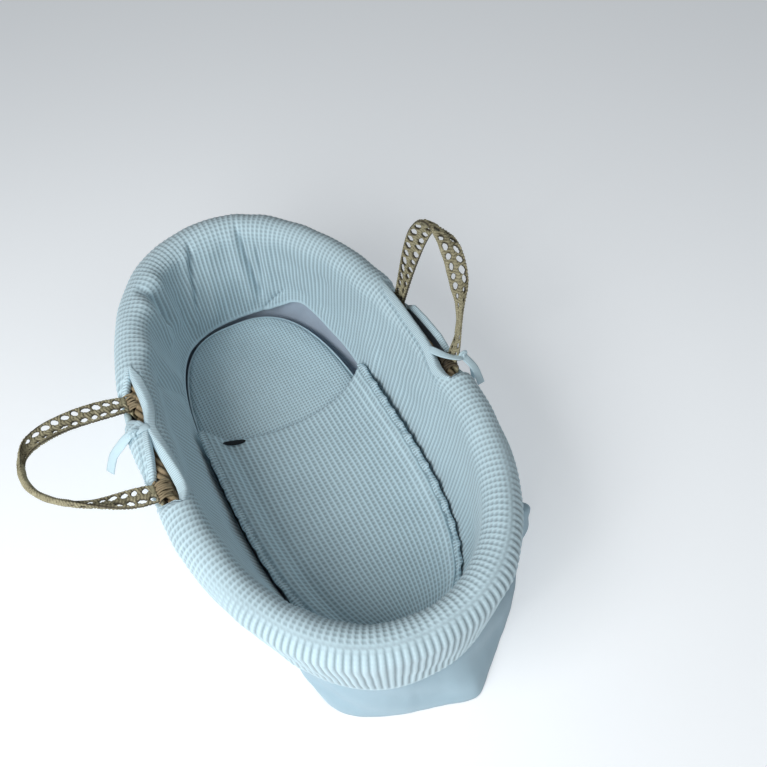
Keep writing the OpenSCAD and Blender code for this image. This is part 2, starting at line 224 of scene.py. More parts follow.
# size from thread to thread, in metres
threadPitch = {"waffle": 0.0011, "tape": 0.0012, "elastic": 0.0015, "tab": 0.0010}


def makeWaffle():
    # painted shade: raised ridges take the light colour and the pits between them the shaded one
    finish = Finish("waffleCotton", "waffle_cotton")
    light, shade = clothColours["waffle"]
    ridge = finish.attribute("ridge")
    patches = finish.noise(9.0, 4.0)
    fuzz = finish.noise(900.0, 2.0)
    threads = threadField(finish, threadPitch["waffle"], finish.place())
    # painted shade from the ridge mark darkens the pits; patches and fuzz add uneven tone
    share = finish.remap(ridge * 0.9 + patches * 0.25 + fuzz * 0.18, 0.12, 0.95)
    finish.set(colour=finish.mixColour(share, shade, light), roughness=0.92, specular=0.18,
               sheen=0.25, sheenRoughness=0.5)
    finish.bump(threads * 0.5 + fuzz * 0.7, 0.5, 0.0005)
    return finish


def makePlainCloth(name, slot, colours, pitch=0.0008, sheen=0.2):
    # plain weave: fine crossed threads over soft, uneven colour
    finish = Finish(name, slot)
    light, shade = colours
    patches = finish.noise(14.0, 4.0)
    fuzz = finish.noise(1100.0, 2.0)
    threads = threadField(finish, pitch, finish.place())
    share = finish.remap(patches * 0.8 + fuzz * 0.35 + threads * 0.08, 0.25, 0.85)
    finish.set(colour=finish.mixColour(share, shade, light), roughness=0.88, specular=0.2,
               sheen=sheen, sheenRoughness=0.5)
    finish.bump(threads * 0.6 + fuzz * 0.6, 0.35, 0.0004)
    return finish


# the dark colours are painted shade for hollows and crevices; pale, mid, rim and cord are the leaf's own tones
palmColours = {
    "pale": (0.48, 0.44, 0.29),
    "mid": (0.20, 0.175, 0.10),
    "dark": (0.045, 0.034, 0.020),
    "rim": (0.46, 0.33, 0.20),
    "rimDark": (0.13, 0.09, 0.05),
    "cord": (0.34, 0.255, 0.16),
    "cordDark": (0.03, 0.021, 0.013),
}


def makePalm(name, slot, pale, dark):
    # dried palm leaf: fibres that run with the strip, with painted shade darkening its hollows
    finish = Finish(name, slot)
    ridge = finish.attribute("ridge")
    fibreSpace = finish.node("ShaderNodeUVMap", {"uv_map": "strip"})
    stretched = finish.node("ShaderNodeMapping", None,
                            {"Vector": fibreSpace, "Scale": (9.0, 240.0, 1.0)})
    fibres = finish.noise(4.0, 5.0, 0.65, stretched)
    blotches = finish.noise(55.0, 4.0)
    specks = finish.noise(420.0, 3.0)
    tone = finish.remap(fibres * 0.75 + blotches * 0.55 + specks * 0.45, 0.60, 1.12)
    leaf = finish.mixColour(tone, palmColours["mid"], pale)
    # painted shade: the ridge mark darkens the hollows, loosened by blotches of uneven tone
    depth = finish.remap(ridge + blotches * 0.35, 0.20, 0.80)
    finish.set(colour=finish.mixColour(depth, dark, leaf), specular=0.35,
               roughness=finish.remap(fibres, 0.2, 0.8, 0.5, 0.75))
    finish.bump(fibres * 0.9 + specks * 0.3, 0.6, 0.0007)
    return finish


def makePlait(name, slot):
    # plaited palm seen on the outside and underside: over-and-under squares of leaf
    finish = Finish(name, slot)
    tiles = finish.node("ShaderNodeTexChecker", None,
                        {"Vector": finish.place(), "Scale": 90.0}, output=1)
    fibres = finish.noise(260.0, 4.0)
    blotches = finish.noise(30.0, 4.0)
    tone = finish.remap(fibres * 0.6 + blotches * 0.5 + tiles * 0.25, 0.4, 1.15)
    finish.set(colour=finish.mixColour(tone, palmColours["mid"], palmColours["pale"]),
               roughness=0.7, specular=0.3)
    finish.bump(tiles * 0.6 + fibres * 0.5, 0.7, 0.0012)
    return finish


waffleCloth = makeWaffle()
plainCloth = makePlainCloth("skirtCotton", "plain_cotton", clothColours["plain"])
liningCloth = makePlainCloth("liningCotton", "lining_cloth", clothColours["lining"])
tapeCloth = makePlainCloth("tapeCotton", "tape", clothColours["tape"], threadPitch["tape"])
elasticCloth = makePlainCloth("elasticBand", "elastic", clothColours["elastic"],
                              threadPitch["elastic"])
tabCloth = makePlainCloth("tabWeave", "tab_cloth", clothColours["tab"], threadPitch["tab"], 0.05)
palmStrip = makePalm("palmStrip", "palm", palmColours["pale"], palmColours["dark"])
palmRimBraid = makePalm("palmRimBraid", "palm", palmColours["rim"], palmColours["rimDark"])
palmCord = makePalm("palmCord", "palm_cord", palmColours["cord"], palmColours["cordDark"])
palmPlait = makePlait("palmPlait", "palm")
print("materials made")


def putInScene(name, mesh, body):
    mesh.polygons.foreach_set("use_smooth", np.ones(len(mesh.polygons), bool))
    mesh.update()
    piece = bpy.data.objects.new(name, mesh)
    bpy.context.scene.collection.objects.link(piece)
    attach(piece, body)
    return piece


def storeLayers(mesh, ridge, uv):
    # ridge: 1 on what stands proud and 0 in the hollows, which the waffle and palm finishes darken with it as
    # painted shade; strip: lengthwise and crosswise place
    layer = mesh.attributes.new("ridge", "FLOAT", "POINT")
    layer.data.foreach_set("value", np.asarray(ridge, np.float32))
    corners = np.empty(len(mesh.loops), np.int32)
    mesh.loops.foreach_get("vertex_index", corners)
    uvLayer = mesh.uv_layers.new(name="strip")
    uvLayer.data.foreach_set("uv", np.asarray(uv, np.float32)[corners].ravel())


def thicken(piece, thickness):
    # cloth gets its thickness behind the face that shows
    shell = piece.modifiers.new("thickness", "SOLIDIFY")
    shell.thickness = thickness * millimetre
    shell.offset = -1


def addPiece(name, body, parts, finishes, weld=0.0):
    # parts: (points[rows, columns, 3], ridge[rows, columns], uv[rows, columns, 2], finish number)
    points, ridges, uvs, faces, numbers = [], [], [], [], []
    start = 0
    for grid, ridge, uv, number in parts:
        rows, columns = grid.shape[:2]
        index = start + np.arange(rows * columns).reshape(rows, columns)
        quads = np.stack([index[:-1, :-1], index[:-1, 1:], index[1:, 1:], index[1:, :-1]], -1)
        quads = quads.reshape(-1, 4)
        points.append(grid.reshape(-1, 3))
        ridges.append(np.broadcast_to(ridge, (rows, columns)).ravel())
        uvs.append(uv.reshape(-1, 2))
        faces.append(quads)
        numbers.append(np.full(len(quads), number))
        start += rows * columns
    return addMesh(name, body, np.concatenate(points), np.concatenate(faces),
                   np.concatenate(ridges), np.concatenate(uvs), np.concatenate(numbers),
                   finishes, weld)


def addMesh(name, body, points, faces, ridge, uv, numbers, finishes, weld=0.0):
    mesh = bpy.data.meshes.new(name)
    mesh.from_pydata((np.asarray(points) * millimetre).tolist(), [], np.asarray(faces).tolist())
    for finish in finishes:
        mesh.materials.append(finish.material)
    mesh.polygons.foreach_set("material_index", np.asarray(numbers, np.int32))
    storeLayers(mesh, ridge, uv)
    if weld:
        work = bmesh.new()
        work.from_mesh(mesh)
        bmesh.ops.remove_doubles(work, verts=work.verts, dist=weld * millimetre)
        work.to_mesh(mesh)
        work.free()
    return putInScene(name, mesh, body)


def normalsOf(grid, wrap=False):
    # across the columns, then along the rows, so that a grid's faces and normals agree
    if wrap:
        padded = np.concatenate([grid[-2:-1], grid, grid[1:2]])
        along = padded[2:] - padded[:-2]
    else:
        along = np.gradient(grid, axis=0)
    across = np.gradient(grid, axis=1)
    normal = np.cross(across, along)
    return normal / np.maximum(np.linalg.norm(normal, axis=-1, keepdims=True), 1e-9)


def unit(vectors):
    # each vector over its own length
    return vectors / np.maximum(np.linalg.norm(vectors, axis=-1, keepdims=True), 1e-9)


def runLength(path):
    # distance from the start of a path to each of its points
    return np.concatenate([[0], np.cumsum(np.linalg.norm(np.diff(path, axis=0), axis=1))])


def pinched(grid, first, last):
    # a tube's grid with its two ends drawn in to one point each
    shape = grid[:1].shape
    return np.concatenate([np.broadcast_to(first, shape), grid, np.broadcast_to(last, shape)])


def gridUv(rows, columns, alongPitch=1.0, acrossPitch=1.0):
    along, across = np.meshgrid(np.arange(rows) * alongPitch, np.arange(columns) * acrossPitch,
                                indexing="ij")
    return np.stack([along, across], -1)


def smoothStep(value):
    # 0 below 0, 1 above 1, and a soft climb between
    share = np.clip(value, 0, 1)
    return share * share * (3 - 2 * share)


def roundedShare(distance, width):
    # a quarter circle: 0 at an edge, 1 from this width inwards
    return np.sqrt(np.maximum(1 - (1 - np.clip(distance / width, 0, 1)) ** 2, 0))


def softNoise(points, size, seed, waves=14):
    # a sum of sine waves in random directions, about this size from crest to crest
    draw = np.random.default_rng(seed)
    directions = unit(draw.normal(size=(waves, 3)))
    lengths = size * draw.uniform(0.7, 1.4, waves)
    phases = draw.uniform(0, 2 * np.pi, waves)
    total = np.sin(2 * np.pi * (points @ (directions / lengths[:, None]).T) + phases).sum(-1)
    return total / np.sqrt(waves)


def tube(path, radius, around=8, flat=1.0, up=(0.0, 0.0, 1.0)):
    # a round or oval section carried along a path of points
    along = unit(np.gradient(path, axis=0))
    side = unit(np.cross(along, np.broadcast_to(up, along.shape)))
    over = np.cross(side, along)
    turn = np.linspace(0, 2 * np.pi, around + 1)
    radius = np.broadcast_to(radius, len(path))[:, None, None]
    return (path[:, None] + side[:, None] * np.cos(turn)[None, :, None] * radius
            + over[:, None] * np.sin(turn)[None, :, None] * radius * flat)


def stitches(centres, along, normals, length, width):
    # small five-sided spindles of thread, each lying along its seam
    side = np.cross(normals, along)
    turn = np.arange(5) * 2 * np.pi / 5
    ring = (side[:, None] * np.cos(turn)[None, :, None]
            + normals[:, None] * np.sin(turn)[None, :, None]) * width / 2
    first = centres[:, None] - along[:, None] * length * 0.3 + ring
    second = centres[:, None] + along[:, None] * length * 0.3 + ring
    tips = np.stack([centres - along * length / 2 - normals * width * 0.4,
                     centres + along * length / 2 - normals * width * 0.4], 1)
    points = np.concatenate([first, second, tips], 1)
    near = np.arange(5)
    after = (near + 1) % 5
    sides = np.stack([near, after, after + 5, near + 5], -1)
    caps = np.concatenate([np.stack([np.full(5, 10), after, near, near], -1),
                           np.stack([np.full(5, 11), near + 5, after + 5, after + 5], -1)])
    pattern = np.concatenate([sides, caps])
    faces = (pattern[None] + 12 * np.arange(len(centres))[:, None, None]).reshape(-1, 4)
    return points.reshape(-1, 3), faces


def addStitches(name, body, centres, along, normals, length, width, finish):
    points, faces = stitches(centres, along, normals, length, width)
    lists = [list(dict.fromkeys(face)) for face in faces.tolist()]
    mesh = bpy.data.meshes.new(name)
    mesh.from_pydata((points * millimetre).tolist(), [], lists)
    mesh.materials.append(finish.material)
    storeLayers(mesh, np.full(len(points), 0.9), points[:, :2] * 0.05)
    return putInScene(name, mesh, body)


# The palm basket's own outlines, in mm
basketShape = {
    "halfWidth": 227.0, "power": 2.26, "egg": 0.05,            # rim
    "braidRadius": 9, "climb": 28, "dip": 6,                   # climb from foot to head
    "baseHalfWidth": 170.0, "basePower": 2.5, "baseEgg": 0.03, "baseMargin": 4,
    "flarePower": 0.8,
}
rimLow, rimHigh = [np.array(corner) * 1000 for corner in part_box("palm_rim")]
baseLow, baseHigh = [np.array(corner) * 1000 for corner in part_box("palm_base")]
halfLength = (rimHigh[1] - rimLow[1]) / 2 - basketShape["braidRadius"]
headHeight = rimHigh[2] - basketShape["braidRadius"]
footHeight = headHeight - basketShape["climb"]
baseHalfLength = (baseHigh[1] - baseLow[1]) / 2 - basketShape["baseMargin"]


def signedPower(value, power):
    return np.sign(value) * np.abs(value) ** power


def oval(angle, length, width, power, egg):
    # superellipse: its half width grows or shrinks along its length by the egg share
    share = signedPower(np.sin(angle), 2 / power)
    across = width * signedPower(np.cos(angle), 2 / power) * (1 + egg * share)
    return np.stack([across, length * share], -1)


def rimXy(angle):
    return oval(angle, halfLength, basketShape["halfWidth"], basketShape["power"],
                -basketShape["egg"])


def baseXy(angle):
    return oval(angle, baseHalfLength, basketShape["baseHalfWidth"], basketShape["basePower"],
                basketShape["baseEgg"])


def rimNormal(angle):
    # level and square to the rim, outwards
    step = rimXy(angle + degree) - rimXy(angle - degree)
    return unit(np.stack([step[..., 1], -step[..., 0]], -1))


def outwardsAt(angle):
    return np.concatenate([rimNormal(angle), np.zeros((len(angle), 1))], -1)


def rimZAt(y):
    # a straight climb from foot to head, less a shallow dip between
    share = y / halfLength
    climb = (headHeight - footHeight) * (share + 1) / 2
    return footHeight + climb - basketShape["dip"] * (1 - share * share)


def rimXAt(y):
    share = y / halfLength
    return (basketShape["halfWidth"] * (1 - np.abs(share) ** basketShape["power"]) ** (1 / basketShape["power"])
            * (1 - basketShape["egg"] * share))


def rimAngleAt(y):
    return np.arcsin(signedPower(y / halfLength, basketShape["power"] / 2))


def wallPoint(angle, out, z):
    # the wall flares from the base outline to the rim outline with height
    share = np.clip(z / rimZAt(rimXy(angle)[..., 1]), 0, 1)[..., None] ** basketShape["flarePower"]
    flat = (baseXy(angle) * (1 - share) + rimXy(angle) * share
            + rimNormal(angle) * np.asarray(out)[..., None])
    return np.concatenate([flat, np.broadcast_to(z, flat.shape[:-1])[..., None]], -1)


def evenAngles(count, start=90 * degree):
    # angles that step round the rim in equal lengths of edge
    fine = np.linspace(0, 2 * np.pi, 4001) + start
    length = runLength(rimXy(fine))
    return np.interp(np.linspace(0, length[-1], count + 1), length, fine), length[-1]


# The padded waffle surround: one closed ring with an opening for each handle
surround = {
    "cell": 9.1,            # length of one waffle cell round the basket
    "perCell": (3, 2),      # points across one square, round the basket and up it
    "innerCells": 30,       # cells from the lower edge inside up to the line of the openings
    "outerCells": 26,       # cells from there down to the hem outside
    "rollRadius": 28,
    "drop": 125,            # hem below the rim
    "clear": 2.0,           # room left between the inner wall and what lies in the basket
    "insideRoll": 12.5,     # radius of the hollow over the rim braid
    "outerLeg": 22,         # the same, down the outer band
    "padding": 19.5,        # how far the inner wall stands in before it swells
    "pressed": (21, 16),    # how much a pressed flap loses in radius and in height
    "outerRun": 169,        # from the crown down to the hem
    "relief": (2.3, 2.7),   # depth of the squares inside, and outside at the foot
    "square": (1.0, 0.12, 0.12), "rib": (0.0, 0.75, 1.0),    # across one cell
    "creases": 1.35,
    "fill": 0.6,
}
# What lies in the basket: middle, half width, half length and egg share
bedOutline = (0.0, 150.0, 355.0, 0.03)
frillOutline = (4.0, 157.6, 352.0)
# How much the wall leans on it, by angle
leanTable = np.array([
    (0, 0.75), (12, 0.5), (25, 0.2), (45, 0), (60, 0.1), (75, 0.45), (90, 0.75), (108, 1),
    (335, 1), (350, 0.85), (360, 0.75)], float)

# Openings: distance along the basket, angle of the inner and outer edge over the roll in
# degrees, and how far the outer edge is pressed down, from 0 to 1
leftOpening = np.array([
    (-150, 0, 0, 0), (-97, -20, -20, 0), (-88, -34, -12, 0.15), (-75, -50, -3, 0.7), (-60, -57, 3, 1),
    (-40, -52, 6, 0.85), (-20, -42, 6, 0.35), (0, -32, 4, 0.1), (20, -20, 0, 0), (35, -13, -5, 0),
    (42, -11, -7, 0), (49, -12, -5, 0), (60, -18, 6, 0.05), (75, -27, 16, 0.4), (90, -30, 22, 0.9),
    (111, -24, 20, 1), (130, -13, 12, 0.6), (150, -4, 5, 0.1), (166, 0, 0, 0), (220, 0, 0, 0)], float)
rightOpening = np.array([
    (-150, 0, 0, 0), (-92, -22, -22, 0), (-84, -34, 0, 0.3), (-72, -42, 25, 0.8), (-58, -43, 42, 1),
    (-42, -34, 50, 0.9), (-20, -20, 52, 0.3), (0, -15, 52, 0), (42, -9, 50, 0), (70, -3, 46, 0.1),
    (90, 1, 40, 0.8), (111, 6, 30, 1), (128, 10, 20, 0.6), (139, 12, 12, 0), (180, 0, 0, 0)], float)
openings = {-1: leftOpening, 1: rightOpening}
openingEnds = {-1: (-97, 166), 1: (-92, 139)}

# Folds of the inner wall: angle at the top and at the bottom, first and last share of the
# height, spread in degrees, and depth (below zero) or rise in mm
surroundFolds = [
    (131, 128.5, 0.46, 0.98, 2.0, -7.5), (137, 134, 0.35, 0.95, 3.2, 5.0), (124, 122, 0.30, 0.95, 3.0, 4.0),
    (98, 107, 0.30, 0.90, 1.5, -5.0), (103, 111, 0.15, 0.85, 2.8, 3.5), (91, 97, 0.10, 0.80, 4.5, 3.0),
    (76, 70.2, 0.16, 0.92, 1.3, -6.5), (80, 75, 0.12, 0.85, 2.8, 4.5), (67, 69, 0.18, 0.72, 1.1, -4.0),
    (62, 64, 0.15, 0.80, 3.0, 3.5), (57, 69.5, 0.02, 0.17, 1.4, -4.5), (45, 47, 0.20, 0.85, 4.0, 2.0),
    (152, 146, 0.10, 0.92, 4.0, 4.0), (116, 117, 0.05, 0.55, 3.5, -3.0), (35, 36, 0.15, 0.60, 3.0, -2.2),
    (160, 150, 0.10, 0.70, 2.2, -4.0),
]


def openingAt(side, y):
    table = openings[side]
    return [np.interp(y, table[:, 0], table[:, column]) for column in (1, 2, 3)]


def backRadius(turn):
    # the hollow over the rim widens on its outer side, in radians of turn from the crown
    spare = surround["outerLeg"] - surround["insideRoll"]
    return surround["insideRoll"] + spare * smoothStep(turn / (np.pi / 2))


# Height of the lower edge inside, by angle from the right-hand side: it rides up at the head
footTable = np.array([
    (-20, 52), (0, 56), (15, 66), (22, 70), (31, 75), (40.5, 89), (46.9, 98), (53, 89), (58, 74),
    (66, 58), (79, 50), (115, 50), (124, 55), (150, 56), (161, 50), (270, 50), (340, 52)], float)


def averaged(turned, table, shifts):
    # a table's value, rounded off by taking the mean over a few degrees
    return np.mean([np.interp(turned + shift, table[:, 0], table[:, 1]) for shift in shifts], axis=0)


def innerFootAt(angle):
    turned = (angle / degree + 20) % 360 - 20
    return averaged(turned, footTable, np.linspace(-2, 2, 5))


def distanceOut(flat, middle, wide, long, egg=0.0, power=2.8):
    # how far a point lies outside a superellipse, in mm
    wide = wide * (1 + egg * np.clip(flat[..., 1] / long, -1, 1))
    x = np.abs(flat[..., 0] - middle)
    y = np.abs(flat[..., 1])
    share = np.maximum((x / wide) ** power + (y / long) ** power, 1e-9) ** (1 / power)
    slope = np.hypot(x ** (power - 1) / wide ** power, y ** (power - 1) / long ** power)
    return (share - 1) / (slope * share ** (1 - power))


def paddingAt(angle, foot):
    # how far the wall's padding leans in: up to what lies in the basket, less a little room
    start = -surround["padding"]
    out = np.full(len(angle), start)
    for _ in range(12):
        flat = wallPoint(angle, out, foot + 8)[:, :2]
        bed = distanceOut(flat, *bedOutline)
        frill = distanceOut(flat, *frillOutline) + 60 * smoothStep((flat[:, 1] - 70) / 70)
        out = out + 0.8 * (surround["clear"] - np.minimum(bed, frill))
    lean = np.interp((angle / degree) % 360, leanTable[:, 0], leanTable[:, 1])
    return np.clip(start - out, 0, 40) * lean


def pressedRoll(press):
    # radius of the roll's outer half, how far its centre moves out, and its height
    shrink, sink = surround["pressed"]
    radius = surround["rollRadius"] - shrink * press
    return radius, surround["rollRadius"] - radius, -sink * press


def innerFace(rimZ, turn, share, foot, padding):
    # share 0 at the lower edge inside, 1 at the inner edge of the opening
    radius = surround["rollRadius"]
    leg = rimZ - foot
    arc = radius * (turn + np.pi / 2)
    along = share * (leg + arc)
    climb = np.clip(along / leg, 0, 1)
    bend = np.clip(along - leg, 0, None) / radius - np.pi / 2
    onLeg = along < leg
    swollen = (-surround["padding"]
               - (radius - surround["padding"]) * smoothStep((climb - 0.25) / 0.75))
    swollen = swollen - padding * smoothStep((0.92 - climb) / 0.66)
    out = np.where(onLeg, swollen, radius * np.sin(bend))
    rise = np.where(onLeg, foot + along - rimZ, radius * np.cos(bend))
    return out, rise


def outerFace(turn, press, share):
    # share 0 at the outer edge of the opening, 1 at the hem
    radius, centre, low = pressedRoll(press)
    arc = radius * (np.pi / 2 - turn)
    leg = surround["drop"] + low
    along = share * (arc + leg)
    bend = turn + np.clip(along, 0, arc) / radius
    down = np.clip(along - arc, 0, None)
    onArc = along < arc
    out = np.where(onArc, centre + radius * np.sin(bend), surround["rollRadius"] - down / leg)
    rise = np.where(onArc, low + radius * np.cos(bend), low - down)
    return out, rise


def outerBack(turn, press, share):
    # share 0 at the hem, 1 at the outer edge of the opening
    radius, centre, low = pressedRoll(press)
    bend = np.pi / 2 + (turn - np.pi / 2) * np.clip((share - 0.5) / 0.5, 0, 1)
    thick = (surround["rollRadius"] - backRadius(bend)) * (1 - press) + 5 * press
    down = (surround["drop"] + low) * np.clip(1 - share / 0.5, 0, 1)
    inside = radius - thick
    return centre + inside * np.sin(bend), low + inside * np.cos(bend) - down


def innerBack(rimZ, turn, share, foot):
    # share 0 at the inner edge of the opening, 1 at the lower edge inside
    bend = turn + (-np.pi / 2 - turn) * np.clip(share / 0.5, 0, 1)
    inside = backRadius(bend)
    down = (rimZ - foot) * np.clip((share - 0.5) / 0.5, 0, 1)
    slim = (inside - 7) * smoothStep(down / 34)
    return inside * np.sin(bend) + slim, inside * np.cos(bend) - down


def faceGrid(angle, pair):
    # points round the basket from their distance outwards and their height over the rim
    out, rise = pair
    rimZ = rimZAt(rimXy(angle)[:, 1])[:, None]
    return wallPoint(np.broadcast_to(angle[:, None], out.shape), out, rimZ + rise)


def buildSurround():
    # a section swept round the rim: inner wall, roll and outer band, then their backs, with the
    # cloth's squares, dents and folds added along each face's own normal
    perAround, perUp = surround["perCell"]
    cells = int(round(evenAngles(10)[1] / surround["cell"]))
    angle, _ = evenAngles(cells * perAround)
    flat = rimXy(angle)
    side = np.where(flat[:, 0] < 0, -1, 1)
    rimZ = rimZAt(flat[:, 1])[:, None]
    left = openingAt(-1, flat[:, 1])
    right = openingAt(1, flat[:, 1])
    inner, outer, press = [np.where(side < 0, a, b)[:, None] for a, b in zip(left, right)]
    inner, outer = inner * degree, outer * degree

    rowsIn = surround["innerCells"] * perUp
    rowsOut = surround["outerCells"] * perUp
    shareIn = np.linspace(0, 1, rowsIn + 1)[None]
    shareOut = np.linspace(0, 1, rowsOut + 1)[None]
    foot = innerFootAt(angle)
    foot, padding = foot[:, None], paddingAt(angle, foot)[:, None]
    frontIn = faceGrid(angle, innerFace(rimZ, inner, shareIn, foot, padding))
    frontOut = faceGrid(angle, outerFace(outer, press, shareOut))
    backOut = faceGrid(angle, outerBack(outer, press, np.linspace(0, 1, 13)[None]))
    backIn = faceGrid(angle, innerBack(rimZ, inner, np.linspace(0, 1, 13)[None], foot))

    # where the cloth shows its squares, and how they stretch into ribs round the foot
    footward = smoothStep((-flat[:, 1] - 150) / 170)[:, None]
    headward = smoothStep((flat[:, 1] - 120) / 200)[:, None]
    columns = np.arange(len(angle)) % perAround
    square = np.array(surround["square"])[columns][:, None]
    rib = np.array(surround["rib"])[columns][:, None]

    def relief(fromSplit, outside, share):
        rows = np.where(fromSplit % perUp == 0, 1.0, 0.0)[None]
        fainter = (0.28 + 0.12 * headward) * (1 - outside) * smoothStep((1 - share) * 3)
        waffle = np.maximum(square, rows * (0.66 - fainter))
        ribs = rib * (0.88 + 0.12 * rows)
        run = share * surround["outerRun"]
        turnedOver = outside * footward * smoothStep((run + 2) / 24)
        mixed = waffle * (1 - turnedOver) + ribs * turnedOver
        low, high = surround["relief"]
        depth = low + (high - low) * footward * outside
        depth = depth * (1 - 0.45 * (1 - footward) * outside * smoothStep((run - 40) / 30))
        return mixed, depth

    ridgeIn, depthIn = relief(rowsIn - np.arange(rowsIn + 1), 0.0, shareIn)
    ridgeOut, depthOut = relief(np.arange(rowsOut + 1), 1.0, shareOut)
    edgeIn = smoothStep((1 - shareIn) * rowsIn / 4) * smoothStep(shareIn * rowsIn / 3)
    edgeOut = smoothStep(shareOut * rowsOut / 4) * smoothStep((1 - shareOut) * rowsOut / 3)
    isOpen = (np.abs(inner - outer) > 0.5 * degree)
    edgeIn = np.where(isOpen, edgeIn, smoothStep(shareIn * rowsIn / 3))
    edgeOut = np.where(isOpen, edgeOut, smoothStep((1 - shareOut) * rowsOut / 3))

    # soft dents all over, and folds that run down the inner wall round the head
    turned = (angle / degree)[:, None] % 360

    def creases(share):
        # each fold: its angle high and low on the wall, where it starts and ends, spread, depth
        total = np.zeros((len(angle), share.shape[1]))
        for high, low, first, last, spread, depth in surroundFolds:
            middle = low + (high - low) * np.clip((share - first) / (last - first), 0, 1)
            gap = (turned - middle + 540) % 360 - 180
            window = (smoothStep((share - first) / 0.12 + 0.5)
                      * smoothStep((last - share) / 0.12 + 0.5))
            total = total + depth * np.exp(-np.abs(gap / spread) ** 1.6) * window
        return total

    def swell(grid, share, fromEdge, outside):
        # nothing moves at the edge of an opening
        dents = 1.5 * softNoise(grid, 150, 3) + 0.8 * softNoise(grid, 60, 4)
        hem = smoothStep((1 - share) / 0.15) if outside else smoothStep(share / 0.15)
        pinned = np.where(isOpen, smoothStep(fromEdge * 5), 1)
        return (dents * hem + (0 if outside else surround["creases"] * creases(share))) * pinned

    liftIn = (ridgeIn - 0.5) * depthIn * edgeIn + swell(frontIn, shareIn, 1 - shareIn, False)
    frontIn = frontIn + normalsOf(frontIn, True) * liftIn[..., None]
    liftOut = (ridgeOut - 0.5) * depthOut * edgeOut + swell(frontOut, shareOut, shareOut, True)
    frontOut = frontOut + normalsOf(frontOut, True) * liftOut[..., None]
    # one shared line where there is no opening
    middle = (frontIn[:, -1] + frontOut[:, 0]) / 2
    shut = ~isOpen[:, 0]
    frontIn[shut, -1] = middle[shut]
    frontOut[shut, 0] = middle[shut]
    for grid in (frontIn, frontOut):
        grid[-1] = grid[0]

    def fold(first, last, steps, bulge):
        # a turned edge between two lines of points, rounded outwards
        share = np.linspace(0, 1, steps)[None, :, None]
        straight = first[:, None] * (1 - share) + last[:, None] * share
        return straight + bulge[:, None] * np.sin(np.pi * share)

    down = np.broadcast_to([0.0, 0.0, -1.0], (len(angle), 3))
    hemFold = fold(frontOut[:, -1], backOut[:, 0], 4, down * 2.5)
    footFold = fold(backIn[:, -1], frontIn[:, 0], 4, down * 4)
    outward = outwardsAt(angle)
    lipIn = fold(frontIn[:, -1], backIn[:, 0], 5, outward * 2.5 * isOpen)
    lipOut = fold(backOut[:, -1], frontOut[:, 0], 5, -outward * 1.5 * isOpen)

    def cellUv(rows, start=0):
        return gridUv(len(angle), rows, 1 / perAround, 1 / perUp) + np.array([0, start])

    # the ridge mark goes into the colour too: painted shade in the pits of the squares and between the ribs
    parts = [
        (frontIn, ridgeIn * edgeIn + 0.8 * (1 - edgeIn),
         cellUv(rowsIn + 1, -surround["innerCells"]), 0),
        (frontOut, ridgeOut * edgeOut + 0.8 * (1 - edgeOut), cellUv(rowsOut + 1), 0),
        (hemFold, 0.8, cellUv(4, 20), 0),
        (backOut, 0.8, cellUv(13, 24), 1),
        (backIn, 0.8, cellUv(13, 40), 1),
        (footFold, 0.8, cellUv(4, 60), 0),
    ]
    # the turned edges exist only along the openings
    for number, (first, last) in openingEnds.items():
        along = (flat[:, 1] > first) & (flat[:, 1] < last)
        inside = np.flatnonzero((side == number) & along & isOpen[:, 0])
        span = slice(inside.min() - 1, inside.max() + 2)
        for grid in (lipIn, lipOut):
            parts.append((grid[span], 0.8, gridUv(len(grid[span]), 5), 1))
    piece = addPiece("waffleSurround", "basket", parts, [waffleCloth, liningCloth], weld=0.02)
    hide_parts("surround_cover", "surround_wadding")


buildSurround()
print("surround made")


# Turned and stitched edges round the openings
facing = {"width": 12.0, "outerShare": 0.5, "rib": 3.1, "lift": 0.9, "thickness": 0.8,
          "lip": {True: 2.5, False: -1.5},
          "stitchLines": (13.6, 16.6), "stitch": 3.2, "thread": (2.5, 0.9), "threadLift": 1.15}


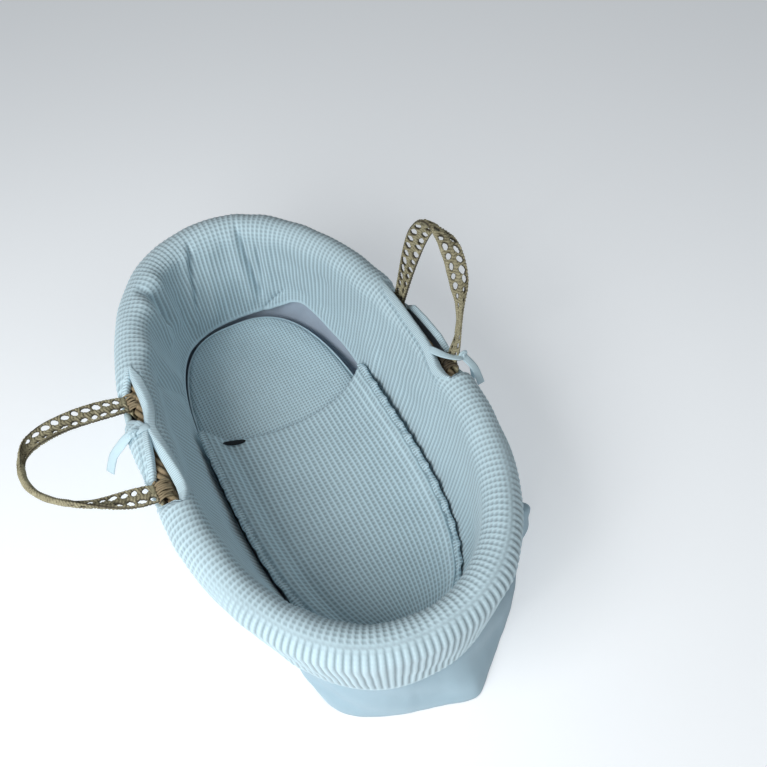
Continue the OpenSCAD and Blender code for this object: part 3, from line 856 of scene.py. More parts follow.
def edgeRibbon(side, inner):
    # a ribbed ribbon laid along the edge of the opening and turned over it
    first, last = openingEnds[side]
    count = int((last - first) / facing["rib"] * 4)
    y = np.linspace(first + 1.5, last - 1.5, count)
    angle = np.where(side > 0, rimAngleAt(y), np.pi - rimAngleAt(y))
    turnIn, turnOut, press = openingAt(side, y)
    turnIn, turnOut, press = turnIn[:, None] * degree, turnOut[:, None] * degree, press[:, None]
    rimZ = rimZAt(y)[:, None]
    foot = innerFootAt(angle)
    foot, padding = foot[:, None], paddingAt(angle, foot)[:, None]
    narrow = np.clip(np.minimum(y - first, last - y) / 26, 0.25, 1)[:, None]

    def lineAt(distance):
        # a line on the surface at this distance back from the edge of the opening
        if inner:
            full = rimZ - foot + surround["rollRadius"] * (turnIn + np.pi / 2)
            return faceGrid(angle, innerFace(rimZ, turnIn, 1 - distance / full, foot, padding))
        radius, _, low = pressedRoll(press)
        full = radius * (np.pi / 2 - turnOut) + surround["drop"] + low
        return faceGrid(angle, outerFace(turnOut, press, distance / full))

    width = facing["width"] * (1 if inner else facing["outerShare"])
    top = lineAt(np.linspace(1, 0, 9)[None] * width * narrow)
    if inner:
        under = faceGrid(angle, innerBack(rimZ, turnIn, np.zeros((1, 1)), foot))
    else:
        under = faceGrid(angle, outerBack(turnOut, press, np.ones((1, 1))))
    share = np.linspace(0, 0.8, 6)[None, 1:, None]
    bulge = outwardsAt(angle)[:, None] * facing["lip"][inner] * np.sin(np.pi * share)
    grid = np.concatenate([top, top[:, -1:] * (1 - share) + under * share + bulge], 1)
    normal = normalsOf(grid)
    normal = normal * np.sign(np.mean(normal[:, 0, 2]))
    ribs = np.abs(np.sin(np.pi * (np.arange(count) / 4)))[:, None] * 0.5
    across = np.concatenate([np.linspace(0, 1, 9), np.linspace(1, 0.6, 5)])[None]
    grid = grid + normal * (facing["lift"] + (ribs - 0.25) * smoothStep(across * 4))[..., None]
    if inner == (side > 0):
        grid = grid[:, ::-1]
    # the ribs are also the colour mark: painted shade in the grooves between them
    return grid, ribs * 2, lineAt


def buildFacing(side, name, node):
    parts = []
    centres, alongs, overs = [], [], []
    for inner in (True, False):
        grid, ribs, lineAt = edgeRibbon(side, inner)
        parts.append((grid, ribs, gridUv(*grid.shape[:2], 0.25, 1), 0))
        for distance in facing["stitchLines"]:
            line = lineAt(np.full((1, 1), distance))[:, 0]
            near = lineAt(np.full((1, 1), distance + 1.0))[:, 0]
            along = unit(np.gradient(line, axis=0))
            over = unit(np.cross(line - near, along))
            over = over * np.sign(over[:, 2].mean())
            length = runLength(line)
            places = np.arange(12, length[-1] - 12, facing["stitch"])
            at = [np.stack([np.interp(places, length, part[:, k]) for k in range(3)], -1)
                  for part in (line, along, over)]
            centres.append(at[0] + at[2] * facing["threadLift"])
            alongs.append(unit(at[1]))
            overs.append(unit(at[2]))
    piece = addPiece(name, "basket", parts, [waffleCloth])
    thicken(piece, facing["thickness"])
    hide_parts(node)
    addStitches(name + "Stitches", "basket", np.concatenate(centres), np.concatenate(alongs),
                np.concatenate(overs), *facing["thread"], tapeCloth)


buildFacing(-1, "leftOpeningEdge", "left_slot_facing")
buildFacing(1, "rightOpeningEdge", "right_slot_facing")
print("opening edges made")


# Rim braid, handle roots and the palm parts kept from the drawing
braid = {"strands": 3, "offset": 4.4, "strandRadius": 4.7, "pitch": 52, "steps": 620}


def buildRimBraid():
    # three strands twisted round the rim line
    angle, edge = evenAngles(braid["steps"])
    z = rimZAt(rimXy(angle)[:, 1])
    turns = round(edge / braid["pitch"])
    parts = []
    for strand in range(braid["strands"]):
        phase = np.linspace(0, 2 * np.pi * turns, len(angle)) + strand * 2 * np.pi / braid["strands"]
        around = np.linspace(0, 2 * np.pi, 9)[None]
        out = braid["offset"] * np.cos(phase)[:, None] + braid["strandRadius"] * np.cos(around)
        rise = braid["offset"] * np.sin(phase)[:, None] + braid["strandRadius"] * np.sin(around)
        grid = wallPoint(np.broadcast_to(angle[:, None], out.shape), out, z[:, None] + rise)
        # painted shade: darker where each strand turns in towards the braid's middle
        depth = np.clip(np.hypot(out, rise) / (braid["offset"] + braid["strandRadius"]), 0, 1) ** 3
        parts.append((grid[:, ::-1], depth[:, ::-1], gridUv(len(angle), 9, 0.02, 0.05), 0))
    piece = addPiece("rimBraid", "basket", parts, [palmRimBraid], weld=0.05)
    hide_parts("palm_rim")


handles = {"hingeHeight": 216, "hingeClear": 14.5, "power": 2.35, "width": 38, "thickness": 7}
# Where the two ends of each handle meet the rim, head end first
rootYs = {-1: (117, -56), 1: (105, -51)}


def hingePoint(side, y):
    return np.array([side * (rimXAt(y) + handles["hingeClear"]), y, handles["hingeHeight"]])


def hingeLine(side):
    return unit(hingePoint(side, rootYs[side][0]) - hingePoint(side, rootYs[side][1]))


# In mm: the band's end sewn down the wall, and the cord wound over it
root = {"stub": 62, "seat": 4.7, "lowOut": 8.7, "bendOut": 14.4, "bendDrop": 22.7,
        "turns": 6, "cord": 1.9, "reach": 9.5, "rise": 8.0, "spread": 30,
        "inset": 7.5, "lower": 4.5, "layers": ((0.0, 0.0), (2.0, 1.6))}


def buildRoot(side, end, y):
    # palm cord wound over the braid and the end of the band, and the band's end sewn down the wall
    line = hingeLine(side)
    top = hingePoint(side, y)
    angle = rimAngleAt(y) if side > 0 else np.pi - rimAngleAt(y)
    draw = np.random.default_rng(int(400 + y + side))
    parts = []
    for layer, (shift, grow) in enumerate(root["layers"]):
        turn = np.linspace(0, 2 * np.pi * root["turns"], 26 * root["turns"])
        wander = np.interp(turn, np.linspace(0, turn[-1], 24), draw.normal(0, 1, 24))
        middle = top - np.array([side * root["inset"], 0, root["lower"]])
        reach = root["reach"] + grow + 1.3 * wander
        drift = (turn / turn[-1] - 0.5) * root["spread"] + shift + 1.6 * wander
        path = (middle + line * drift[:, None]
                + np.array([side, 0, 0]) * (reach * np.cos(turn + layer))[:, None]
                + np.array([0, 0, 1]) * ((root["rise"] + grow) * np.sin(turn + layer))[:, None])
        cord = tube(path, root["cord"] * (0.8 + 0.25 * draw.random()), around=6, up=tuple(line))
        grid = pinched(cord, path[0], path[-1])
        # painted shade: each cord lighter on one side of its round and darker on the other
        shade = np.clip(0.45 + 0.5 * np.cos(np.linspace(0, 2 * np.pi, 7)), 0, 1)[None]
        parts.append((grid, shade, gridUv(len(grid), 7, 0.05, 0.1), 0))
    seat = top[2] - root["seat"]
    low = wallPoint(np.array([angle]), np.array([root["lowOut"]]), seat - root["stub"])[0]
    bend = wallPoint(np.array([angle]), np.array([root["bendOut"]]), top[2] - root["bendDrop"])[0]
    path = np.stack([low, bend, top - np.array([0, 0, root["seat"]])])
    along = np.linspace(0, 2, 30)
    path = np.stack([np.interp(along, [0, 1, 2], path[:, k]) for k in range(3)], -1)
    around = np.linspace(0, 2 * np.pi, 25)
    wide = signedPower(np.cos(around), 0.5) * handles["width"] / 2
    grooves = 0.8 + 0.2 * np.cos(6 * np.pi * wide / handles["width"])
    thick = signedPower(np.sin(around), 0.7) * handles["thickness"] / 2 * grooves
    grid = (path[:, None] + line * wide[None, :, None]
            + np.array([side, 0, 0]) * thick[None, :, None])
    grid = pinched(grid, path[0], path[-1])
    grid = grid if side < 0 else grid[:, ::-1]
    shade = 0.5 + 0.5 * np.abs(np.sin(np.arange(len(grid)) * 1.1))[:, None]
    parts.append((grid, shade, gridUv(len(grid), 25, 0.1, 0.05), 1))
    word = "left" if side < 0 else "right"
    piece = addPiece(word + end.capitalize() + "Root", "basket", parts, [palmCord, palmStrip],
                     weld=0.02)
    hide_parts("root_%s_%s" % (word, end))


buildRimBraid()
for side in (-1, 1):
    for end, y in zip(("head", "foot"), rootYs[side]):
        buildRoot(side, end, y)

keptNodes = {"palm_base": palmPlait, "palm_wall": palmPlait, "rim_lashing": palmCord,
             "root_stitching": palmCord, "skirt_elastic": elasticCloth}
for nodeName, finish in keptNodes.items():
    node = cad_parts[nodeName]
    node.data.materials.clear()
    node.data.materials.append(finish.material)
print("palm parts made")


# The two open-work handles: turn round the handle from the head root (0) to the foot root (180): twist of the band,
# its width, how far it is rolled lengthwise in degrees, and how open its holes are
leftBand = {
    "name": "leftHandleBand", "body": "left_handle", "node": "left_handle_band",
    "reach": 164, "lean": 12, "sway": 5, "tiles": 27,
    "table": np.array([
        (0, 0, 30, 0, 0.75), (8, 0, 36, 5, 1), (20, 0, 36, 8, 1), (32, 0, 33, 18, 1),
        (44, 4, 29, 38, 0.95), (56, 10, 22, 70, 0.7), (68, 25, 14, 105, 0.3),
        (80, 50, 9, 130, 0.12), (100, 70, 7.5, 140, 0.1), (128, 60, 7, 140, 0.1),
        (140, 52, 10, 110, 0.2), (150, 40, 18, 70, 0.6), (157, 28, 26, 40, 0.9),
        (165, 14, 33, 15, 1), (174, 0, 35, 5, 1), (180, 0, 30, 0, 0.75)], float)}
rightBand = {
    "name": "rightHandleBand", "body": "right_handle", "node": "right_handle_band",
    "reach": 172, "lean": 76, "sway": 28, "tiles": 27,
    "table": np.array([
        (0, 0, 26, 10, 0.7), (14, 10, 29, 8, 0.95), (27, 15, 34, 8, 1), (45, 30, 35, 8, 1),
        (58, 42, 33, 12, 0.95), (70, 50, 31, 20, 0.7), (83, 58, 31, 25, 0.7), (96, 82, 33, 22, 1),
        (110, 98, 34, 20, 1), (124, 105, 33, 20, 1), (136, 107, 30, 22, 0.95),
        (146, 108, 15, 50, 0.35), (155, 112, 7, 80, 0.12), (163, 130, 6, 80, 0.1),
        (170, 152, 12, 50, 0.3), (176, 168, 19, 25, 0.5), (180, 180, 22, 10, 0.5)], float)}
# Each tile of the band holds one hole: its half length and half width as shares of the tile
hole = {"around": (8, 6), "rings": 6, "halfLength": 0.36, "halfWidth": 0.30, "strand": 3.4,
        "tile": (18.0, 17.0)}


def bandFrame(side, band, places):
    # half a superellipse, leaning outwards: its centre, wide axis, thin axis and table values
    turn = np.linspace(0.25, 179.75, 721) * degree
    out = band["reach"] * signedPower(np.sin(turn), 2 / handles["power"])
    first, last = [hingePoint(side, y) for y in rootYs[side]]
    across = (np.linalg.norm(first - last) / 2 * signedPower(np.cos(turn), 2 / handles["power"])
              + band["sway"] * (out / band["reach"]) ** 2)
    line = hingeLine(side)
    level = np.array([side * line[1], -side * line[0], 0])
    lean = band["lean"] * degree
    outward = level * np.cos(lean) + np.array([0, 0, np.sin(lean)])
    lift = np.array([0, 0, np.cos(lean)]) - level * np.sin(lean)
    middle = (first + last) / 2
    centre = middle + line * across[:, None] + outward * out[:, None]
    length = runLength(centre)
    at = places * length[-1]
    centre = np.stack([np.interp(at, length, centre[:, k]) for k in range(3)], -1)
    turnAt = np.interp(at, length, turn) / degree
    # the table is rounded off by a running mean
    degrees = np.linspace(0, 180, 361)
    reach = 7
    kernel = np.ones(2 * reach + 1) / (2 * reach + 1)
    values = []
    for column in range(1, 5):
        raw = np.interp(degrees, band["table"][:, 0], band["table"][:, column])
        padded = np.concatenate([np.full(reach, raw[0]), raw, np.full(reach, raw[-1])])
        values.append(np.interp(turnAt, degrees, np.convolve(padded, kernel, "valid")))
    run = np.linspace(0, length[-1], 2001)
    step = unit(np.gradient(np.stack([np.interp(run, length, part) for part in (across, out)], -1),
                            axis=0))
    sideways = np.stack([step[:, 1], -step[:, 0]], -1)
    flat = np.stack([np.interp(at, run, sideways[:, k]) for k in range(2)], -1)
    inPlane = unit(line * flat[:, :1] + outward * flat[:, 1:])
    twist = values[0][:, None] * degree
    wide = inPlane * np.cos(twist) + lift * np.sin(twist)
    thin = lift * np.cos(twist) - inPlane * np.sin(twist)
    return centre, wide, thin, values, length[-1], turnAt


def bandPoint(side, band, places, acrossShare, height):
    # the band is rolled lengthwise by bending its width into an arc
    centre, wide, thin, (_, width, roll, _), _, _ = bandFrame(side, band, places.ravel())
    acrossShare, height = acrossShare.ravel(), height.ravel()
    bend = np.maximum(roll * degree, 0.02)
    radius = width / 2 / np.sin(np.minimum(bend, np.pi / 2))
    turn = acrossShare * bend
    height = height * np.clip(width / 24, 0.42, 1)
    x = radius * np.sin(turn)
    y = radius * (1 - np.cos(turn)) - radius * (1 - np.cos(bend)) / 2
    sideways = np.stack([np.cos(turn), np.sin(turn)], -1)
    return (centre + wide * (x - sideways[:, 1] * height)[:, None]
            + thin * (y + sideways[:, 0] * height)[:, None])


def buildBand(side, band):
    # two staggered rows of tiles; rings of points run from each tile's outline to its hole
    tiles = band["tiles"]
    tileLength, tileWidth = hole["tile"]
    alongSteps, acrossSteps = hole["around"]
    low = np.stack([np.arange(alongSteps) / alongSteps, np.zeros(alongSteps)], -1)
    right = np.stack([np.ones(acrossSteps), np.arange(acrossSteps) / acrossSteps], -1)
    loop = np.concatenate([low, right, 1 - low, 1 - right, low[:1]])
    bearing = np.arctan2(loop[:, 1] - 0.5, loop[:, 0] - 0.5)
    rings = np.linspace(0, 1, hole["rings"]) ** 1.3
    parts = []
    pitch = 1 / (tiles + 0.5)
    for row in (0, 1):
        for tile in range(tiles):
            begin = (tile + 0.5 * row) * pitch
            centreTurn = bandFrame(side, band, np.array([begin + pitch / 2]))[3]
            gap = centreTurn[3][0]
            draw = np.random.default_rng(1000 * (side + 2) + 100 * row + tile)
            jitter = 1 + 0.14 * draw.normal(size=2)
            half = np.array([hole["halfLength"] * (0.55 + 0.45 * gap) * jitter[0],
                             hole["halfWidth"] * gap * jitter[1]])
            nudge = draw.normal(size=2) * (0.035, 0.03)
            lens = np.sin(bearing) * (1 - 0.35 * np.abs(np.cos(bearing)) ** 2)
            slant = (0.22 if row else -0.22) * lens
            opening = 0.5 + nudge + np.stack([np.cos(bearing) + slant, lens], -1) * half
            local = (opening[:, None] * (1 - rings)[None, :, None]
                     + loop[:, None] * rings[None, :, None])
            places = begin + local[..., 0] * pitch
            across = local[..., 1] - (1 - row)
            fromHole = np.linalg.norm((local - opening[:, None]) * hole["tile"], axis=-1)
            fromEdge = (1 - np.abs(across)) * tileWidth
            fromEnd = np.minimum(places, 1 - places) * tiles * tileLength
            near = np.minimum(np.minimum(fromHole, fromEdge), fromEnd)
            plump = roundedShare(near, hole["strand"])
            diagonal = across * 1.6 * (1 if row else -1)
            twistLines = np.sin(2 * np.pi * (places * tiles * 3.2 + diagonal))
            cracks = np.sin(2 * np.pi * (places * tiles * 7.3 - across * 2.7) + 1.3)
            thick = handles["thickness"] / 2 * plump * (1 + 0.24 * twistLines + 0.10 * cracks)
            # painted shade: darker towards the holes and tile edges and in the dips of the twist lines and cracks
            shade = np.clip(plump * (0.58 + 0.34 * twistLines + 0.20 * cracks), 0, 1)
            uv = np.stack([places * tiles, across * 0.5], -1)
            for face in (1, -1):
                grid = bandPoint(side, band, places, across, face * thick)
                grid = grid.reshape(places.shape + (3,))
                order = -1 if (face > 0) != (side > 0) else 1
                parts.append((grid[::order], shade[::order], uv[::order], 0))
    # the half tiles left at each end of the two rows
    for row, begin in ((1, 0.0), (0, tiles * pitch)):
        local = np.stack(np.meshgrid(np.linspace(0, 1, 5), np.linspace(0, 1, 7),
                                     indexing="ij"), -1)
        places = begin + local[..., 0] * pitch / 2
        across = local[..., 1] - (1 - row)
        fromEdge = (1 - np.abs(across)) * tileWidth
        fromEnd = np.minimum(places, 1 - places) * tiles * tileLength
        plump = roundedShare(np.minimum(fromEdge, fromEnd), hole["strand"])
        uv = np.stack([places * tiles, across * 0.5], -1)
        for face in (1, -1):
            grid = bandPoint(side, band, places, across, face * plump * handles["thickness"] / 2)
            grid = grid.reshape(places.shape + (3,))
            order = -1 if (face > 0) == (side > 0) else 1
            # painted shade: the half tiles darken towards their edges
            parts.append((grid[::order], plump * 0.7, uv, 0))
    piece = addPiece(band["name"], band["body"], parts, [palmStrip], weld=0.03)
    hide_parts(band["node"])


# Leaf wound round the gathered band: from and to which turn, how far across the band it sits,
# and its radii across the band and through it, in even steps
leftWrap = {
    "name": "leftGripWrap", "node": "left_grip_wrap", "span": (84, 143), "edge": 0.0,
    "radii": ((5.6, 5.2, 4.8, 4.6, 4.8, 5.8), (6.0, 5.5, 5.0, 4.7, 4.8, 5.4))}
rightWrap = {
    "name": "rightGripWrap", "node": "right_grip_wrap", "span": (88, 166), "edge": 0.86,
    "radii": ((2.6, 2.8, 2.8, 2.7, 2.6, 2.6, 2.8), (2.6, 2.7, 2.7, 2.6, 2.5, 2.6, 2.7))}
winding = {"pitch": 3.1, "height": 0.3, "lump": 0.25, "steps": 320, "around": 20}


def buildWrap(side, band, wrap):
    # a tube in close turns: round the gathered band, or down one edge of it
    allPlaces = np.linspace(0, 1, 400)
    allTurns = bandFrame(side, band, allPlaces)[5]
    first, last = [np.interp(turn, allTurns, allPlaces) for turn in wrap["span"]]
    steps = winding["steps"]
    places = np.linspace(first, last, steps)
    centre, wide, thin, _, length, turnAt = bandFrame(side, band, places)
    if wrap["edge"]:
        centre = bandPoint(side, band, places, np.full(steps, wrap["edge"]), np.zeros(steps))
    low, high = [np.interp(turnAt, np.linspace(*wrap["span"], len(radii)), radii)
                 for radii in wrap["radii"]]
    around = np.linspace(0, 2 * np.pi, winding["around"] + 1)
    run = (places - first) * length
    turns = np.sin(2 * np.pi * (run[:, None] / winding["pitch"] + around[None] / 2 / np.pi))
    turns = turns * winding["height"]
    relief = turns + winding["lump"] * np.sin(run / 5.1)[:, None]
    ends = 0.72 + 0.28 * smoothStep(np.minimum(run, run[-1] - run) / 16)[:, None]
    grid = (centre[:, None]
            + wide[:, None] * (np.cos(around)[None] * (low[:, None] * ends + relief))[..., None]
            + thin[:, None] * (np.sin(around)[None] * (high[:, None] * ends + relief))[..., None])
    grid = pinched(grid, centre[0], centre[-1])
    # painted shade: darker in the grooves between the turns of the winding
    shade = np.pad(0.62 + 1.1 * turns, ((1, 1), (0, 0)))
    grid = grid if side < 0 else grid[:, ::-1]
    piece = addPiece(wrap["name"], band["body"], [(grid, shade, gridUv(*shade.shape, 0.05, 0.15), 0)],
                     [palmStrip], weld=0.02)
    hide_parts(wrap["node"])


for side, band, wrap in ((-1, leftBand, leftWrap), (1, rightBand, rightWrap)):
    buildBand(side, band)
    buildWrap(side, band, wrap)
print("handles made")


mattressLow, mattressHigh = [np.array(corner) * 1000 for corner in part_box("mattress_cover")]
mattress = {"cell": 5.9, "perCell": 3, "shoulder": 15, "relief": 1.7, "power": 2.8, "egg": 0.03,
            "bulge": 1.2, "halfLength": 355.0, "halfWidth": 150.0, "tuck": 9, "fill": 0.9}
piping = {"radius": 1.7, "inset": 2.6, "below": 10.2, "steps": 500}


def mattressOutline(angle):
    return oval(angle, mattress["halfLength"], mattress["halfWidth"], mattress["power"],
                mattress["egg"])


def mattressShare(flat):
    # 0 at the middle, 1 on the outline, with the distance left to the outline
    power = mattress["power"]
    long = mattress["halfLength"]
    wide = mattress["halfWidth"] * (1 + mattress["egg"] * np.clip(flat[..., 1] / long, -1, 1))
    share = (np.abs(flat[..., 0]) / wide) ** power + (np.abs(flat[..., 1]) / long) ** power
    share = np.maximum(share ** (1 / power), 1e-6)
    slope = np.stack([np.abs(flat[..., 0]) ** (power - 1) / wide ** power,
                      np.abs(flat[..., 1]) ** (power - 1) / long ** power], -1)
    slope = np.linalg.norm(slope, axis=-1) * share ** (1 - power)
    return share, (1 - share) / np.maximum(slope, 1e-6)


def gridQuads(rows, columns, start):
    index = start + np.arange(rows * columns).reshape(rows, columns)
    quads = np.stack([index[:-1, :-1], index[1:, :-1], index[1:, 1:], index[:-1, 1:]], -1)
    return quads.reshape(-1, 4)


def buildMattress():
    # a square grid cut to the oval and dropped round the shoulder, with its sides swept round it
    perCell = mattress["perCell"]
    step = mattress["cell"] / perCell
    top, bottom = mattressHigh[2], mattressLow[2]
    countX = int((mattress["halfWidth"] + 10) / step) + 2
    countY = int((mattress["halfLength"] + 7) / step) + 2
    x = np.arange(-countX, countX + 1) * step
    y = np.arange(-countY, countY + 1) * step
    flat = np.stack(np.meshgrid(x, y, indexing="ij"), -1)
    share, _ = mattressShare(flat)
    outside = share >= 0.997
    flat = np.where(outside[..., None], flat / share[..., None], flat)
    share, spare = mattressShare(flat)
    spare = np.where(outside, 0, spare)
    # the squares' ridge mark, used for the relief and for painted shade in the pits
    ridgeX = np.where(np.arange(len(x)) % perCell == 0, 1.0, 0.1)
    ridgeY = np.where(np.arange(len(y)) % perCell == 0, 1.0, 0.1)
    ridge = np.maximum(ridgeX[:, None], ridgeY[None])
    shoulder = mattress["shoulder"]
    drop = shoulder * (1 - roundedShare(spare, shoulder))
    flatPoints = np.concatenate([flat, np.zeros(flat.shape[:2] + (1,))], -1)
    dip = 1.2 + 1.1 * softNoise(flatPoints, 120, 21) + 3.5 * (1 - smoothStep(spare / 40))
    z = top - drop - np.clip(dip, 0, 6) + (ridge - 1) * mattress["relief"] * smoothStep(spare / 4)
    points = np.concatenate([flat, z[..., None]], -1)
    quads = gridQuads(len(x), len(y), 0)
    quads = quads[~outside.ravel()[quads].all(1)]
    used, quads = np.unique(quads, return_inverse=True)
    quads = quads.reshape(-1, 4)
    points = points.reshape(-1, 3)[used]
    ridge = ridge.ravel()[used]
    edgePoints = points[outside.ravel()[used]]
    edgePoints = edgePoints[np.argsort(np.arctan2(edgePoints[:, 1], edgePoints[:, 0]))]
    edgePoints = np.concatenate([edgePoints, edgePoints[:1]])

    # the side falls from the shoulder to the floor of the basket and turns under
    away = unit(edgePoints[:, :2])
    rows = []
    for level in np.linspace(0, 1, 15):
        out = (mattress["bulge"] * np.sin(np.pi * level)
               - mattress["tuck"] * smoothStep((level - 0.82) / 0.18) ** 2)
        height = edgePoints[:, 2] * (1 - level) + (bottom + 0.4) * level
        rows.append(np.concatenate([edgePoints[:, :2] + away * out, height[:, None]], 1))
    lowest, under = rows[-1][:, :2], np.full((len(edgePoints), 1), bottom + 0.2)
    for inward in (0.6, 0.0):
        rows.append(np.concatenate([lowest * inward, under], 1))
    sideGrid = np.stack(rows, 1)[:, ::-1]
    columns, count = sideGrid.shape[:2]
    allPoints = np.concatenate([points, sideGrid.reshape(-1, 3)])
    allFaces = np.concatenate([quads, gridQuads(columns, count, len(points))])
    allRidge = np.concatenate([ridge, np.full(columns * count, 0.7)])
    uv = allPoints[:, :2] / mattress["cell"]
    piece = addMesh("mattressCover", "mattress", allPoints, allFaces, allRidge, uv,
                    np.zeros(len(allFaces), int), [waffleCloth], weld=0.02)
    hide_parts("mattress_cover", "mattress_foam")


def buildPiping():
    # corded seam round the shoulder
    count = piping["steps"] + 1
    seam = mattressOutline(np.linspace(0, 2 * np.pi, count))
    height = np.full((count, 1), mattressHigh[2] - piping["below"])
    path = np.concatenate([seam - unit(seam) * piping["inset"], height], -1)
    grid = tube(path, piping["radius"])
    grid[-1] = grid[0]
    twist = 0.6 + 0.3 * np.sin(np.arange(count)[:, None] * 1.3 + np.arange(9)[None])
    piece = addPiece("mattressPiping", "mattress", [(grid, twist, gridUv(count, 9), 0)],
                     [tapeCloth], weld=0.05)
    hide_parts("mattress_piping")


buildMattress()
buildPiping()
print("mattress made")


coverlet = {
    "across": 34, "along": 62, "perCell": (4, 3), "relief": 1.8,      # cells, and points in each
    "halfWidth": 149.0, "halfLength": 351.0, "shift": 4.0,
    "foot": -339.0, "top": 68.0, "hollow": 42.0,                      # its two ends along the bed
    "bottom": 56.2, "middle": 3.8, "thickness": 10.5, "edge": 11, "rise": 30.0,
    "groove": (1.0, 0.3, 0.0, 0.3), "crossRib": (0.6, 0.06, 0.06),
    "flat": (0.306, 0.449), "area": 0.122,
}
frill = {"steps": 420, "around": 12, "wave": 33.0, "thickness": 2.6, "relief": 0.9,
         "scallop": {-1: 0.8, 1: 0.9}, "lift": {-1: 2.6, 1: 3.4}}
tab = {"across": -0.71, "halfWidth": 0.125, "along": 0.966, "tilt": 0.07, "depth": 0.024,
       "lift": 1.6, "thickness": 1.1, "points": (15, 9)}


def coverletPoint(across, along, lift):
    # across from -1 to 1 and along from 0 at the foot to 1: narrowed to the bed's oval at the
    # foot, hollowed at the top edge and turned up along both sides
    top = coverlet["top"] + coverlet["hollow"] * across ** 2
    y = coverlet["foot"] + (top - coverlet["foot"]) * along
    inside = np.clip(np.abs(np.minimum(y, 0)) / coverlet["halfLength"], 0, 1)
    share = (1 - inside ** mattress["power"]) ** (1 / mattress["power"])
    x = coverlet["shift"] + coverlet["halfWidth"] * share * across
    z = coverlet["bottom"] + coverlet["rise"] * np.abs(across) ** 6 * (0.25 + 0.75 * along) + lift
    return np.stack(np.broadcast_arrays(x, y, z), -1)


def buildQuilt():
    # a grid over the bed, with its cloth's squares, side rolls and puckers lifted off it
    perAcross, perAlong = coverlet["perCell"]
    columns = coverlet["across"] * perAcross + 1
    rows = coverlet["along"] * perAlong + 1
    across = np.linspace(-1, 1, columns)[None]
    along = np.linspace(0, 1, rows)[:, None]
    flat = coverletPoint(across, along, 0.0)
    # the squares' ridge mark, used for the relief and for painted shade in the pits
    ridge = np.maximum(np.array(coverlet["crossRib"])[np.arange(rows) % perAlong][:, None],
                       np.array(coverlet["groove"])[np.arange(columns) % perAcross][None])
    # distance from the four edges, for the way the wadding thins towards them
    halfSpan = (flat[:, -1:, 0] - flat[:, :1, 0]) / 2
    fromSide = (1 - np.abs(across)) * halfSpan
    fromEnd = np.minimum(along, 1 - along) * (coverlet["top"] - coverlet["foot"])
    spare = np.minimum(fromSide, fromEnd)
    full = roundedShare(spare, coverlet["edge"])
    soft = softNoise(flat, 95, 31) * 1.3 + softNoise(flat, 210, 32) * 1.6
    # raised along both long edges, with a shallow channel beside the left one
    roll = (7.0 * np.exp(-((across + 0.90) / 0.075) ** 2)
            + 4.5 * np.exp(-((across - 0.92) / 0.06) ** 2))
    channel = -4.0 * np.exp(-((across + 0.74) / 0.06) ** 2)
    puckers = 1.4 * np.sin(along * 78 + 1.5 * np.sin(along * 23))
    puckers = puckers * smoothStep((np.abs(across) - 0.86) / 0.1)
    wadding = coverlet["thickness"] - coverlet["middle"]
    top = (wadding + soft + roll + channel + puckers) * full
    squares = (ridge - 1) * coverlet["relief"] * smoothStep(spare / 5)
    upwards = np.array([0, 0, 1.0])
    front = flat + upwards * (coverlet["middle"] + np.maximum(top, 0) + squares)[..., None]
    back = flat + upwards * (coverlet["middle"] * (1 - full))[..., None]
    # rows run from the foot, columns from left to right: faces look up when the rows are reversed
    uv = gridUv(rows, columns, 1 / perAlong, 1 / perAcross)
    parts = [(front[::-1], ridge[::-1], uv, 0), (back, 0.7, uv, 1)]
    piece = addPiece("coverletQuilt", "coverlet", parts, [waffleCloth, plainCloth], weld=0.02)
    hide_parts("coverlet_backing", "coverlet_wadding", "coverlet_top_cloth")
    return piece


def buildFrill(side, word):
    # a soft tube along the edge, waved up and down and in and out, with small squares on it
    steps, points = frill["steps"], frill["around"] + 1
    run = np.linspace(0.03, 1.0, steps)
    edge = coverletPoint(np.full(steps, float(side)), run, coverlet["middle"] + 0.5)
    length = runLength(edge)
    wave = length / frill["wave"] + 0.25 * np.sin(length / 47)
    around = np.linspace(0, 2 * np.pi, points)[None]
    outer = 0.5 + 0.5 * np.cos(around)
    reach = (3.2 + frill["scallop"][side] * np.abs(np.sin(np.pi * wave)) ** 0.6)[:, None]
    lift = (frill["lift"][side] * np.sin(2 * np.pi * wave + 0.6))[:, None]
    cells = np.maximum((np.arange(steps) % 5 < 2)[:, None] * 1.0,
                       (np.arange(points) % 3 == 0)[None] * 0.8)
    pleat = (0.5 * np.sin(length / 3.3)[:, None] * (0.4 + 0.6 * np.cos(around))
             + frill["relief"] * (cells - 0.5))
    x = side * (reach - 2 + (reach + 2 + pleat * 0.5) * np.cos(around))
    z = (frill["thickness"] + pleat) * np.sin(around) + lift * outer + 1.0
    sway = 2.0 * np.sin(2 * np.pi * wave + 2.0)[:, None] * outer
    grid = pinched(edge[:, None] + np.stack([x, sway, z], -1), edge[0], edge[-1])
    # painted shade in the pits of the small squares
    shade = np.pad(0.1 + 0.8 * cells, ((1, 1), (0, 0)), "edge")
    grid = grid[:, ::-1] if side < 0 else grid
    piece = addPiece(word + "Frill", "coverlet",
                     [(grid, shade, gridUv(steps + 2, points, 0.3, 0.3), 0)],
                     [waffleCloth], weld=0.02)
    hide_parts("coverlet_%s_frill" % word)
    return piece


